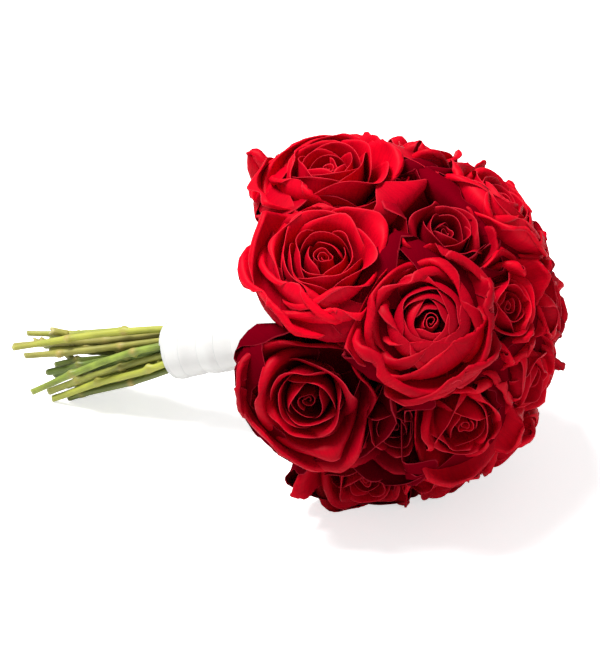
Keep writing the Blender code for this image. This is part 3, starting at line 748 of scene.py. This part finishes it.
def stem_parts(head, route):
    """A stem with knots, its slanted cut end, its hip and its sepals.

    Ring j is a circle round the curve at its distance s from the cut, of the stem's radius there. At each
    knot the radius grows by a bell in s, higher on one side, where the leaf's scar is, and the curve turns
    a little.
    """
    look = STEM_LOOKS.get(head.number)
    points, swell = route
    draw = np.random.default_rng([head.number, 101])
    length = np.linalg.norm(np.diff(points, axis=0), axis=1).sum()
    shown = BARE_LENGTH / length
    at = np.concatenate(
        [np.linspace(0, shown, 66), np.linspace(shown, 0.93, 34)[1:], np.linspace(0.93, 1, 12)[1:]]
    )
    middle, thick, distance = curve_through(points, swell, at)
    tangent = np.gradient(middle, axis=0)
    tangent /= np.linalg.norm(tangent, axis=1, keepdims=True)
    reference = np.cross(CROWN, head.frame[:, 2])
    reference = OVER if np.linalg.norm(reference) < 0.2 else reference / np.linalg.norm(reference)
    first = reference - tangent * (tangent @ reference)[:, None]
    first /= np.linalg.norm(first, axis=1, keepdims=True)
    second = np.cross(tangent, first)
    angle = np.arange(STEM_SIDES) * 2 * np.pi / STEM_SIDES
    knots = np.arange(draw.uniform(9, 26) * MM, length - 40 * MM, KNOT_SPACING)
    knots = knots + draw.uniform(-7, 7, len(knots)) * MM
    if look:
        knots = np.array(look.knots) * MM
    scar = np.zeros((len(at), STEM_SIDES))
    bulge = np.zeros((len(at), STEM_SIDES))
    sway = np.zeros((len(at), 2))
    for number, knot in enumerate(knots):
        facing = draw.uniform(0, 2 * np.pi)
        height = draw.uniform(0.45, 1.1)
        near = np.exp(-(((distance - knot) / (2.8 * MM)) ** 2))[:, None]
        close = np.exp(-(((distance - knot - 0.8 * MM) / (2.0 * MM)) ** 2))[:, None]
        towards = np.clip(np.cos(angle - facing), 0, 1)[None]
        bulge += near * 0.2 + close * towards**2 * height
        scar = np.maximum(scar, close * (0.35 + 0.65 * smooth((towards - 0.2) / 0.5)))
        turn = (-1) ** number * draw.uniform(0.5, 1.3) * MM
        ramp = np.clip(1 - np.abs(distance - knot) / KNOT_SPACING, 0, 1)
        sway += ramp[:, None] * turn * np.array([np.cos(facing), np.sin(facing)])
    free = smooth(distance / (6 * MM)) * 0.4 + 0.6
    free = free * (1 - smooth((distance - BARE_LENGTH) / (20 * MM)))
    middle = middle + (first * sway[:, :1] + second * sway[:, 1:]) * free[:, None]
    radius = STEM_RADIUS * thick[:, None] * 0.97 * (1 + bulge * (1 - smooth((at - 0.9) / 0.05))[:, None])
    radius = radius * (1 + 0.03 * np.sin(3 * angle + draw.uniform(0, 6))[None])
    if look:
        radius = radius * (1 - look.taper * (1 - smooth((distance - 8 * MM) / (20 * MM))))[:, None]
    rings = middle[:, None] + radius[..., None] * circle(angle, first[:, None], second[:, None])
    # The cut is slanted: rings near it slide along the stem with their height across it
    slant = draw.uniform(0.05, 0.55)
    facing = draw.uniform(0, 2 * np.pi)
    slide = slant * radius * (np.cos(angle - facing)[None]) * (1 - smooth(distance / (7 * MM)))[:, None]
    rings = above_floor(rings + slide[..., None] * tangent[:, None])
    heart = rings[0].mean(axis=0)
    caps = [heart + (rings[0] - heart) * share for share in (0.0, 0.45, 0.86)]
    top = rings[-1].mean(axis=0)
    lids = [top + (rings[-1] - top) * share for share in (0.6, 0.0)]
    cut = np.concatenate([[1.0, 0.85, 0.55, 0.35], np.zeros(len(at) - 1 + len(lids))])[:, None]
    rings = np.concatenate([caps, rings, lids])
    scar = np.pad(scar, ((len(caps), len(lids)), (0, 0)))
    along = np.concatenate([[0, 0, 0], distance, [distance[-1]] * 2])[:, None]
    hip = smooth((along - length + HIP_LENGTH) / HIP_LENGTH)
    yellow, tan, dark = draw.uniform(0, 0.7), draw.uniform(0, 1) ** 2 * 0.7, draw.uniform(0.1, 0.8)
    if look:
        yellow, tan, dark = look.yellow, look.tan, look.dark
        tan = tan + (0.9 - tan) * np.minimum(3 * look.taper, 1) * (1 - smooth((along - 8 * MM) / (16 * MM)))
    marks = {"scar": scar, "cut": cut, "yellow": yellow, "tan": tan, "dark": dark, "hip": hip, "back": 0.0}
    parts = [tube_part(rings[:, ::-1], (angle[::-1] / (2 * np.pi))[None], along, marks)]
    if look and look.stub:
        ring = np.argmin(np.abs(distance - knots[look.stub[0]]))
        parts.append(branch_stub(middle[ring], tangent[ring], head.number, look.stub[1], dark))
    parts += sepal_parts(head, points[-2], dark)
    return parts


def branch_stub(root, tangent, number, size, dark):
    """What is left of a side branch: a short thick tube that leaves the stem aslant and has a rough end.

    Its rings are circles round a straight line, whose radius falls a little. The end ring's points stand
    out by a sum of two sines of the angle round it.
    """
    draw = np.random.default_rng([number, 105])
    side = OVER - tangent * (tangent @ OVER)
    side = side / np.linalg.norm(side) + 0.5 * draw.normal() * np.cross(tangent, OVER)
    way = side * 0.42 - tangent
    way /= np.linalg.norm(way)
    first = np.cross(way, NEAR)
    first /= np.linalg.norm(first)
    second = np.cross(way, first)
    angle = np.arange(12) * 2 * np.pi / 12
    along = np.array([0, 0, 2, 5, 8, 9.5, 9.5, 9.3]) * size * MM
    radius = np.array([0, 2.0, 2.1, 2.1, 2.3, 2.2, 1.3, 0]) * (0.4 + 0.6 * size) * MM
    ragged = 0.7 * MM * (
        np.sin(2 * angle + draw.uniform(0, 6)) + 0.6 * np.sin(5 * angle + draw.uniform(0, 6))
    )
    out = along[:, None] + smooth((along[:, None] / (size * MM) - 5) / 4) * (radius > 0)[:, None] * ragged
    rings = root + out[..., None] * way + radius[:, None, None] * circle(angle, first, second)
    ended = np.array([0, 0, 0, 0, 0.1, 0.5, 0.9, 1.0])[:, None]
    scar = np.array([0.3, 0.3, 0.3, 0.2, 0.4, 0.8, 0.8, 0.8])[:, None]
    marks = {
        "scar": scar, "cut": 0.6 * ended, "yellow": 0.7, "tan": 0.4, "dark": dark, "hip": 0.0, "back": 0.0
    }
    return tube_part(rings[:, ::-1], (angle[::-1] / (2 * np.pi))[None], along[:, None], marks)


def sepal_parts(head, root, dark):
    """Five leaf-like sepals under a bloom, turned back towards the stem.

    A sepal's half width is a bow that swells from its root and runs out to a long tip; its middle line runs
    out at a lean that grows from 70 to about 150 degrees, and its sides are raised to a shallow keel.
    """
    draw = np.random.default_rng([head.number, 103])
    parts = []
    columns = 2 * edged(5, 0.06) - 1
    u, v = np.meshgrid(columns, np.append(np.linspace(0, 0.97, 10), 1))
    for i in range(SEPALS):
        length = (17 + 4 * draw.uniform()) * MM
        width = (4.6 + draw.uniform()) * MM
        start, end = 58 + 14 * draw.uniform(), 118 + 40 * draw.uniform()
        turn = draw.uniform(0, 0.3) + i * 2 * np.pi / SEPALS
        ladder = np.linspace(0, 1, 25)[:, None, None] * v[None]
        angle = np.radians(start + (end - start) * smooth(ladder * 1.1))
        step = np.diff(ladder, axis=0) * length
        out = 3.2 * MM + (np.sin(angle[1:]) * step).sum(axis=0)
        up = (np.cos(angle[1:]) * step).sum(axis=0)
        half = width * (0.55 + 0.45 * np.sin(np.pi * v**0.7)) * (1 - v**1.8) + 0.15 * MM
        keel = 0.22 * half * np.abs(u) ** 1.6
        tip = angle[-1]
        x = out + keel * -np.cos(tip)
        z = up + keel * np.sin(tip)
        y = u * half + 0.5 * MM * np.sin(5 * v + draw.uniform(0, 6)) * v
        local = np.stack([*turned_by(x, y, turn), z], axis=-1)
        placed = above_floor(root + local @ head.frame.T)
        marks = {"scar": 0.0, "cut": 0.0, "yellow": 0.0, "tan": 0.0, "dark": dark, "hip": 1.0}
        parts.append(blade(placed, u / 2 + 0.5, v, 0.35 * MM, marks))
    return parts


# Ribbon


def sheaf_radius(routes, back):
    """How far the stems reach from the axis, this far back from the dome's centre."""
    reach = 0
    for points, swell in routes:
        behind = (CENTRE - points) @ CROWN
        order = np.argsort(behind)
        off = points - CENTRE + behind[:, None] * CROWN
        place = [np.interp(back, behind[order], (off @ way)[order]) for way in (NEAR, OVER)]
        thick = np.interp(back, behind[order], swell[order]) * STEM_RADIUS
        reach = max(reach, np.hypot(*place) + thick)
    return reach


def sleeve_profile(routes):
    """Radii of the handle under the ribbon at stations along it: the stems' reach, and the tie's round it."""
    stations = np.linspace(RIBBON_TO, RIBBON_FROM, 15)
    tie_ends = (WAIST - TIE_WIDTH / 2, WAIST + TIE_WIDTH / 2)
    over_tie = max(sheaf_radius(routes, back) for back in tie_ends) + 2 * SEAT_GAP + TIE_WALL
    radii = []
    for back in stations:
        near_tie = smooth(1.8 - abs(back - WAIST) / TIE_WIDTH)
        radii.append(max(sheaf_radius(routes, back) + 2 * SEAT_GAP, over_tie * near_tie))
    return stations, np.array(radii)


def ribbon_part(routes, width, pitch, thickness):
    """A band wound round the handle as a helix, each turn lying on the one before.

    A point at an angle round the axis and a share w across the band is at back = start - pitch * turns -
    width * w. The first turns lie almost on each other. Its radius is the handle's there, plus one
    thickness for each turn that lies below it, plus shallow creases that all the turns at a place share.
    """
    stations, radii = sleeve_profile(routes)
    pitched = (RIBBON_FROM - RIBBON_END - width) / pitch
    turns = FIRST_TURNS + pitched + LAST_TURN
    around = np.linspace(0, turns, int(turns * 56))
    across = edged(17, 0.012)
    w, n = np.meshgrid(across, around)
    first = np.minimum(n, FIRST_TURNS)
    started = np.clip(n - FIRST_TURNS, 0, pitched)
    back = RIBBON_FROM - FIRST_STEP * first * (1 - w) - pitch * started - width * w
    angle = 2 * np.pi * n + 0.6
    covers = smooth((1 - started * pitch / width - w) / 0.3 + 0.2)
    below = first * covers + np.minimum(started, width / pitch * (1 - w))
    below = below + np.clip(n - FIRST_TURNS - pitched, 0, 1)
    base = np.interp(back, stations, radii) + RIBBON_SPREAD * np.clip(RIBBON_TO - back, 0, None)
    crease = 0.35 * MM * np.sin(back / (4.4 * MM) + 1.7 * np.sin(angle + 0.5))
    crease *= np.sin(angle + back / (31 * MM)) ** 2
    crease += 0.16 * MM * np.sin(back / (1.7 * MM) + 2.2 * np.sin(2 * angle + 1))
    radius = base + thickness * (1.6 + below) + crease
    place = CENTRE - CROWN * back[..., None] + radius[..., None] * circle(angle, NEAR, OVER)
    length = (radii.mean() + thickness) * 2 * np.pi * turns
    marks = {"edge": np.minimum(w, 1 - w) * width}
    return blade(place, w * width, n / turns * length, thickness / 2, marks), length


# Finishes


def put(tree, socket, value):
    """Feeds a socket from another node's output, or sets it to a plain value."""
    if isinstance(value, bpy.types.NodeSocket):
        tree.links.new(value, socket)
    else:
        socket.default_value = value


def node(tree, kind, inputs, **settings):
    """A new node with its settings, whose inputs are fed."""
    made = tree.nodes.new(kind)
    for name, value in settings.items():
        setattr(made, name, value)
    for key, value in inputs.items():
        put(tree, made.inputs[key], value)
    return made


def math(tree, operation, *values):
    """The result of one operation on values or sockets."""
    return node(tree, "ShaderNodeMath", dict(enumerate(values)), operation=operation).outputs[0]


def laid_over(tree, colour, *layers):
    """The colour with others laid over it in turn. Each layer is a share, a factor for it and a colour."""
    for share, factor, over in layers:
        made = node(tree, "ShaderNodeMix", {}, data_type="RGBA")
        for index, value in ((0, math(tree, "MULTIPLY", share, factor)), (6, colour), (7, over)):
            put(tree, made.inputs[index], value)
        colour = made.outputs[2]
    return colour


def ranged(tree, value, span, onto=(0.0, 1.0)):
    """A value's place in one span, carried over to another and kept inside it."""
    inputs = {"Value": value, "From Min": span[0], "From Max": span[1], "To Min": onto[0], "To Max": onto[1]}
    return node(tree, "ShaderNodeMapRange", inputs, clamp=True).outputs[0]


def mark(tree, name):
    """A mark that the mesh carries at its points."""
    kind = {"attribute_name": name, "attribute_type": "GEOMETRY"}
    return node(tree, "ShaderNodeAttribute", {}, **kind).outputs["Fac"]


def bumped(tree, shader, height, strength, distance):
    """Lets a height tilt the shader's normal."""
    bump = node(tree, "ShaderNodeBump", {"Height": height, "Strength": strength, "Distance": distance})
    put(tree, shader.inputs["Normal"], bump.outputs[0])


def group(name, inputs, outputs):
    """A new node group with its named sockets, and its two ends."""
    tree = bpy.data.node_groups.new(name, "ShaderNodeTree")
    for label, kind, default in inputs:
        socket = tree.interface.new_socket(label, in_out="INPUT", socket_type=kind)
        if default is not None:
            socket.default_value = default
    for label, kind in outputs:
        tree.interface.new_socket(label, in_out="OUTPUT", socket_type=kind)
    return tree, tree.nodes.new("NodeGroupInput"), tree.nodes.new("NodeGroupOutput")


def veins_group():
    """Fine lines that run along a surface's V: noise stretched along it, with the peaks kept."""
    tree, start, end = group(
        "lengthwise_veins",
        [
            ("UV", "NodeSocketVector", None),
            ("Lines", "NodeSocketFloat", 60.0),
            ("Stretch", "NodeSocketFloat", 3.0),
        ],
        [("Height", "NodeSocketFloat"), ("Mask", "NodeSocketFloat")],
    )
    split = node(tree, "ShaderNodeSeparateXYZ", {0: start.outputs["UV"]})
    x = math(tree, "MULTIPLY", split.outputs[0], start.outputs["Lines"])
    y = math(tree, "MULTIPLY", split.outputs[1], start.outputs["Stretch"])
    spot = node(tree, "ShaderNodeCombineXYZ", {0: x, 1: y}).outputs[0]
    noise = node(tree, "ShaderNodeTexNoise", {"Vector": spot, "Scale": 1.0, "Detail": 3.0}).outputs[0]
    put(tree, end.inputs["Height"], noise)
    put(tree, end.inputs["Mask"], ranged(tree, noise, (0.42, 0.72)))
    return tree


def mottle_group():
    """Soft patches of two tones from noise in the object's own coordinates."""
    tree, start, end = group(
        "soft_mottle",
        [
            ("Scale", "NodeSocketFloat", 60.0),
            ("First", "NodeSocketColor", (1, 1, 1, 1)),
            ("Second", "NodeSocketColor", (0, 0, 0, 1)),
            ("Amount", "NodeSocketFloat", 0.5),
        ],
        [("Color", "NodeSocketColor"), ("Mask", "NodeSocketFloat")],
    )
    place = node(tree, "ShaderNodeTexCoord", {}).outputs["Object"]
    inputs = {"Vector": place, "Scale": start.outputs["Scale"], "Detail": 4.0}
    patch = ranged(tree, node(tree, "ShaderNodeTexNoise", inputs).outputs[0], (0.35, 0.65))
    second = (patch, start.outputs["Amount"], start.outputs["Second"])
    put(tree, end.inputs["Color"], laid_over(tree, start.outputs["First"], second))
    put(tree, end.inputs["Mask"], patch)
    return tree


def placed_group(tree, made, **inputs):
    """The outputs of a group that is put into a tree with these inputs."""
    used = node(tree, "ShaderNodeGroup", {}, node_tree=made)
    for key, value in inputs.items():
        put(tree, used.inputs[key], value)
    return used.outputs


def veined(tree, lines, stretch):
    """The veins' height and mask on the surface's UV map. Their group is built once."""
    made = bpy.data.node_groups.get("lengthwise_veins") or veins_group()
    uv = node(tree, "ShaderNodeUVMap", {}, uv_map="surface").outputs[0]
    return placed_group(tree, made, UV=uv, Lines=lines, Stretch=stretch)


def mottled(tree, scale, first, second, amount):
    """The patches' colour and mask. Their group is built once."""
    made = bpy.data.node_groups.get("soft_mottle") or mottle_group()
    return placed_group(tree, made, Scale=scale, First=first, Second=second, Amount=amount)


def opaque(colour, share=1.0):
    """A colour made darker by a share, as a shader takes it."""
    return (*(share * part for part in colour), 1)


def finish(name, **plain):
    """A new material and its Principled shader, whose plain inputs are set."""
    made = bpy.data.materials.new(name)
    made.use_nodes = True
    shader = made.node_tree.nodes["Principled BSDF"]
    for key, value in plain.items():
        shader.inputs[key.replace("_", " ")].default_value = value
    return made, made.node_tree, shader


def petal_finish(settings):
    """Velvety crimson, finely veined, with painted shade deep in and between the blooms and a painted
    highlight on the thin rims.
    """
    plain = {"Roughness": 0.5, "Sheen_Roughness": 0.4, "Sheen_Tint": (1, 0.05, 0.12, 1)}
    made, tree, shader = finish("velvet_petal", **plain)
    # Sheen and gloss fade where the painted shade is
    lit = math(tree, "SUBTRACT", 1.0, mark(tree, "deep"))
    put(tree, shader.inputs["Sheen Weight"], math(tree, "MULTIPLY", lit, 0.04))
    put(tree, shader.inputs["Specular IOR Level"], math(tree, "MULTIPLY", lit, 0.05))
    deep = opaque(settings.dark_red_and_shade_colour)
    lines = veined(tree, 46.0, 2.6)
    patches = mottled(tree, 48.0, opaque(settings.petal_colour), deep, 0.30)
    colour = laid_over(
        tree,
        patches["Color"],
        (mark(tree, "back"), 0.4, opaque(settings.under_colour)),
        (mark(tree, "tone"), 0.25, deep),
        # painted shade on the roses that lie in shade
        (mark(tree, "bloom"), 0.42, deep),
        (lines["Mask"], 0.22, deep),
        # painted shade deep in and between the blooms
        (mark(tree, "deep"), 0.86, deep),
        # painted highlight on the thin rims, where they catch the light
        (ranged(tree, mark(tree, "rim"), (0.0, 0.03), (1.0, 0.0)), 0.36, opaque(settings.rim_highlight_colour)),
    )
    put(tree, shader.inputs["Base Color"], colour)
    patched = math(tree, "MULTIPLY", patches["Mask"], 0.3)
    height = math(tree, "ADD", math(tree, "MULTIPLY", lines["Height"], 0.7), patched)
    bumped(tree, shader, height, 0.22, 0.6 * MM)
    return made


def stem_finish(settings):
    """Fresh green bark: yellower, tan or dark by stem, the dark partly riper green and partly painted shade,
    with fibres along it, tan scars and a pale cut.
    """
    made, tree, shader = finish("green_stem", Roughness=0.48, Specular_IOR_Level=0.35)
    dark = opaque(settings.dark_and_shaded_green)
    lines = veined(tree, 26.0, 45.0)
    patches = mottled(tree, 90.0, opaque(settings.light_colour), dark, 0.55)
    colour = laid_over(
        tree,
        patches["Color"],
        (mark(tree, "yellow"), 1.0, opaque(settings.yellow_colour)),
        (mark(tree, "tan"), 0.8, opaque(settings.tan_colour)),
        # dark: partly a riper green, partly painted shade
        (mark(tree, "dark"), 0.85, dark),
        (patches["Mask"], 0.25, dark),
        (lines["Mask"], 0.22, FIBRE_COLOUR),
        (mark(tree, "hip"), 0.6, HIP_COLOUR),
        (mark(tree, "scar"), 0.85, opaque(settings.scar_colour)),
        (mark(tree, "cut"), 1.0, CUT_COLOUR),
    )
    put(tree, shader.inputs["Base Color"], colour)
    bumped(tree, shader, lines["Height"], 0.35, 0.5 * MM)
    return made


def ribbon_finish(settings):
    """White satin: fine threads along the band, a raised edge with a painted shade line along it, and a soft
    gleam.
    """
    plain = {"Specular_IOR_Level": 0.5, "Sheen_Weight": 0.2, "Sheen_Roughness": 0.3, "Anisotropic": 0.4}
    made, tree, shader = finish("white_satin", **plain)
    threads = veined(tree, 5200.0, 120.0)
    shade = opaque(settings.ribbon_colour, 0.9)
    patches = mottled(tree, 36.0, opaque(settings.ribbon_colour), shade, 0.5)
    # Painted shade along the band's edges, which also stand a little higher by the bump
    edge_shade_and_ridge = ranged(tree, mark(tree, "edge"), (0.2 * MM, 0.9 * MM), (1.0, 0.0))
    layers = ((threads["Mask"], 0.10, shade), (edge_shade_and_ridge, 0.6, EDGE_SHADE_COLOUR))
    put(tree, shader.inputs["Base Color"], laid_over(tree, patches["Color"], *layers))
    put(tree, shader.inputs["Roughness"], ranged(tree, threads["Height"], (0.0, 1.0), (0.30, 0.48)))
    bumped(tree, shader, math(tree, "ADD", threads["Height"], edge_shade_and_ridge), 0.25, 0.15 * MM)
    return made


def tape_finish(settings):
    """Waxed green tape, crinkled where it was stretched."""
    made, tree, shader = finish("waxed_tape", Specular_IOR_Level=0.4)
    patches = mottled(tree, 420.0, opaque(settings.tape_colour), opaque(settings.tape_colour, 0.6), 0.7)
    put(tree, shader.inputs["Base Color"], patches["Color"])
    put(tree, shader.inputs["Roughness"], ranged(tree, patches["Mask"], (0.0, 1.0), (0.45, 0.7)))
    bumped(tree, shader, patches["Mask"], 0.5, 0.3 * MM)
    return made


def floor_finish():
    """A matt white table top with a trace of unevenness."""
    made, tree, shader = finish("white_table", Roughness=0.6, Specular_IOR_Level=0.2)
    patches = mottled(tree, 4.0, *TABLE_COLOURS, 0.5)
    put(tree, shader.inputs["Base Color"], patches["Color"])
    shader.inputs["Emission Color"].default_value = (1, 1, 1, 1)
    seen = node(tree, "ShaderNodeLightPath", {}).outputs["Is Camera Ray"]
    put(tree, shader.inputs["Emission Strength"], math(tree, "MULTIPLY", seen, TABLE_GLOW))
    return made


# Settings


class BouquetBloomSettings(bpy.types.PropertyGroup):
    """Sizes and colours of the roses."""

    petal_thickness: FloatProperty(
        name="Petal thickness",
        description="Thickness of a petal",
        default=0.45 * MM,
        min=0.1 * MM,
        unit="LENGTH",
    )
    petal_colour: FloatVectorProperty(
        name="Petal colour",
        description="Upper side of a petal",
        default=(0.77, 0.0, 0.014),
        size=3,
        subtype="COLOR",
    )
    # The real darker red of veins, tones and patches, and the painted shade deep in and between the blooms
    dark_red_and_shade_colour: FloatVectorProperty(
        name="Deep colour",
        description="Petals deep in a bloom",
        default=(0.075, 0.0, 0.0035),
        size=3,
        subtype="COLOR",
    )
    # Painted highlight on the thin rims, where they catch the light
    rim_highlight_colour: FloatVectorProperty(
        name="Rim colour",
        description="Thin rims of the petals",
        default=(0.75, 0.04, 0.068),
        size=3,
        subtype="COLOR",
    )
    under_colour: FloatVectorProperty(
        name="Underside colour",
        description="Undersides of the petals",
        default=(0.64, 0.0, 0.016),
        size=3,
        subtype="COLOR",
    )


class BouquetStemSettings(bpy.types.PropertyGroup):
    """Colours of the stems."""

    light_colour: FloatVectorProperty(
        name="Light green",
        description="Fresh parts of the stems",
        default=(0.215, 0.315, 0.038),
        size=3,
        subtype="COLOR",
    )
    yellow_colour: FloatVectorProperty(
        name="Yellow green", description="Young stems", default=(0.385, 0.395, 0.05), size=3, subtype="COLOR"
    )
    tan_colour: FloatVectorProperty(
        name="Tan",
        description="Woody and dried parts",
        default=(0.285, 0.22, 0.057),
        size=3,
        subtype="COLOR",
    )
    dark_and_shaded_green: FloatVectorProperty(
        name="Dark green",
        description="Shaded and riper parts",
        default=(0.05, 0.09, 0.014),
        size=3,
        subtype="COLOR",
    )
    scar_colour: FloatVectorProperty(
        name="Scar colour",
        description="Where leaves were taken off",
        default=(0.38, 0.28, 0.08),
        size=3,
        subtype="COLOR",
    )


class BouquetRibbonSettings(bpy.types.PropertyGroup):
    """Size and colours of the ribbon and of the tie under it."""

    width: FloatProperty(name="Width", description="Width of the ribbon", default=38 * MM, unit="LENGTH")
    pitch: FloatProperty(
        name="Pitch",
        description="How far a turn lies ahead of the one before",
        default=13 * MM,
        unit="LENGTH",
    )
    thickness: FloatProperty(
        name="Thickness", description="Thickness of the satin", default=0.3 * MM, unit="LENGTH"
    )
    ribbon_colour: FloatVectorProperty(
        name="Ribbon colour",
        description="Colour of the satin",
        default=(0.64, 0.64, 0.62),
        size=3,
        subtype="COLOR",
    )
    tape_colour: FloatVectorProperty(
        name="Tape colour",
        description="Colour of the tie",
        default=(0.12, 0.25, 0.08),
        size=3,
        subtype="COLOR",
    )


class BouquetStageSettings(bpy.types.PropertyGroup):
    """Where the camera stands and how bright the light is."""

    azimuth: FloatProperty(
        name="Azimuth",
        description="Turn of the camera round the bouquet",
        default=np.radians(23),
        subtype="ANGLE",
    )
    elevation: FloatProperty(
        name="Elevation",
        description="How far the camera looks down",
        default=np.radians(29),
        subtype="ANGLE",
    )
    distance: FloatProperty(
        name="Distance", description="From the camera to the dome's centre", default=1.2, unit="LENGTH"
    )
    lens: FloatProperty(
        name="Lens", description="Focal length in millimetres", default=107.1, subtype="DISTANCE_CAMERA"
    )
    key_power: IntProperty(
        name="Key light", description="Power of the key light, in watts", default=109, min=0
    )
    world_strength: FloatProperty(
        name="Room light", description="Strength of the light all round", default=0.33
    )


# Operators


class BOUQUET_OT_stage(bpy.types.Operator):
    """Sets up the camera, the soft light and the white table"""

    bl_idname = "bouquet.stage"
    bl_label = "Stage and camera"

    def execute(self, context):
        settings = context.scene.bouquet_stage
        azimuth, elevation = settings.azimuth, settings.elevation
        back = np.array(
            [np.sin(azimuth) * np.cos(elevation), -np.cos(azimuth) * np.cos(elevation), np.sin(elevation)]
        )
        right = np.array([np.cos(azimuth), np.sin(azimuth), 0])
        up = np.cross(back, right)
        pixel = settings.distance / (settings.lens / SENSOR * PHOTO_HEIGHT)
        aside, above = DOME_IN_PHOTO
        place = CENTRE + back * settings.distance - right * aside * pixel - up * above * pixel
        lens = bpy.data.cameras.new("photo_camera")
        lens.lens = settings.lens
        lens.sensor_width = SENSOR
        camera = bpy.data.objects.new("photo_camera", lens)
        context.scene.collection.objects.link(camera)
        camera.matrix_world = Matrix([*np.stack([right, up, back, place], 1).tolist(), [0, 0, 0, 1]])
        context.scene.camera = camera
        for name, place, power, size in (
            ("key_light", (-0.75, -0.40, 2.4), settings.key_power, 0.9),
            ("fill_light", (1.6, -1.6, 1.0), 0.10 * settings.key_power, 1.5),
        ):
            lamp = bpy.data.lights.new(name, "AREA")
            lamp.energy = power
            lamp.size = size
            light = bpy.data.objects.new(name, lamp)
            context.scene.collection.objects.link(light)
            light.location = place
            aim = Vector((0.03, 0, 0.1)) - light.location
            light.rotation_euler = aim.to_track_quat("-Z", "Y").to_euler()
        world = bpy.data.worlds.new("white_room")
        context.scene.world = world
        world.use_nodes = True
        sky = world.node_tree.nodes["Background"]
        sky.inputs["Color"].default_value = (1, 1, 1, 1)
        seen = node(world.node_tree, "ShaderNodeLightPath", {}).outputs["Is Camera Ray"]
        strength = ranged(world.node_tree, seen, (0.0, 1.0), (settings.world_strength, 1.0))
        put(world.node_tree, sky.inputs["Strength"], strength)
        context.scene.view_settings.view_transform = "Standard"
        # The table: a flat grid, six metres wide
        x, y = np.meshgrid(np.linspace(-3, 3, 13), np.linspace(-3, 3, 13))
        points = np.stack([x, y, 0 * x], axis=-1).reshape(-1, 3)
        corner = np.arange(12)[:, None] * 13 + np.arange(12)[None]
        quads = np.stack([corner, corner + 1, corner + 14, corner + 13], axis=-1).reshape(-1, 4)
        mesh = bpy.data.meshes.new("white_table")
        mesh.from_pydata(points.tolist(), [], quads.tolist())
        mesh.materials.append(floor_finish())
        table = bpy.data.objects.new("white_table", mesh)
        context.scene.collection.objects.link(table)
        return {"FINISHED"}


class BOUQUET_OT_blooms(bpy.types.Operator):
    """Grows the twenty-three roses of the dome"""

    bl_idname = "bouquet.blooms"
    bl_label = "Roses"

    def execute(self, context):
        settings = context.scene.bouquet_blooms
        petal_red = petal_finish(settings)
        heads = [head_of(rose, number) for number, rose in enumerate(ROSES, start=1)]
        for head in heads:
            walls = walls_round(head, heads, BLOOM_GAP)
            parts = bloom_parts(head, walls, settings.petal_thickness)
            piece = add_piece(f"rose_{head.number:02d}", parts, petal_red)
            stand_for(piece, f"bloom_{head.number:02d}")
        return {"FINISHED"}


class BOUQUET_OT_stems(bpy.types.Operator):
    """Grows the stems with their knots, cut ends, hips and sepals"""

    bl_idname = "bouquet.stems"
    bl_label = "Stems"

    def execute(self, context):
        stem_green = stem_finish(context.scene.bouquet_stems)
        for head, route in zip(*heads_and_routes()):
            piece = add_piece(f"green_stem_{head.number:02d}", stem_parts(head, route), stem_green)
            stand_for(piece, f"stem_{head.number:02d}")
        return {"FINISHED"}


class BOUQUET_OT_ribbon(bpy.types.Operator):
    """Winds the ribbon round the handle, and gives the tie under it its finish"""

    bl_idname = "bouquet.ribbon"
    bl_label = "Ribbon and tie"

    def execute(self, context):
        settings = context.scene.bouquet_ribbon
        routes = heads_and_routes()[1]
        part, length = ribbon_part(routes, settings.width, settings.pitch, settings.thickness)
        piece = add_piece("satin_ribbon", [part], ribbon_finish(settings))
        stand_for(piece, "ribbon_wrap")
        tape = tape_finish(settings)
        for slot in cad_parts["binding_tie"].material_slots:
            slot.material = tape
        return {"FINISHED"}


class BOUQUET_PT_panel(bpy.types.Panel):
    """Lists the bouquet's operators"""

    bl_idname = "BOUQUET_PT_panel"
    bl_label = "Rose bouquet"
    bl_space_type = "VIEW_3D"
    bl_region_type = "UI"
    bl_category = "Bouquet"

    def draw(self, context):
        for settings, operator in (
            (context.scene.bouquet_stage, "bouquet.stage"),
            (context.scene.bouquet_blooms, "bouquet.blooms"),
            (context.scene.bouquet_stems, "bouquet.stems"),
            (context.scene.bouquet_ribbon, "bouquet.ribbon"),
        ):
            box = self.layout.box()
            box.operator(operator)
            for name in settings.__annotations__:
                box.prop(settings, name)


SETTINGS = {
    "bouquet_stage": BouquetStageSettings,
    "bouquet_blooms": BouquetBloomSettings,
    "bouquet_stems": BouquetStemSettings,
    "bouquet_ribbon": BouquetRibbonSettings,
}
CLASSES = (
    *SETTINGS.values(),
    BOUQUET_OT_stage,
    BOUQUET_OT_blooms,
    BOUQUET_OT_stems,
    BOUQUET_OT_ribbon,
    BOUQUET_PT_panel,
)


def register():
    """Registers the classes and hangs the settings on the scene."""
    for made in CLASSES:
        bpy.utils.register_class(made)
    for name, kind in SETTINGS.items():
        setattr(bpy.types.Scene, name, PointerProperty(type=kind))


def unregister():
    """Undoes what register does."""
    for name in SETTINGS:
        delattr(bpy.types.Scene, name)
    for made in reversed(CLASSES):
        bpy.utils.unregister_class(made)


def main():
    """Builds the whole scene."""
    register()
    bpy.ops.bouquet.stage()
    bpy.ops.bouquet.blooms()
    bpy.ops.bouquet.stems()
    bpy.ops.bouquet.ribbon()


if __name__ == "__main__":
    main()
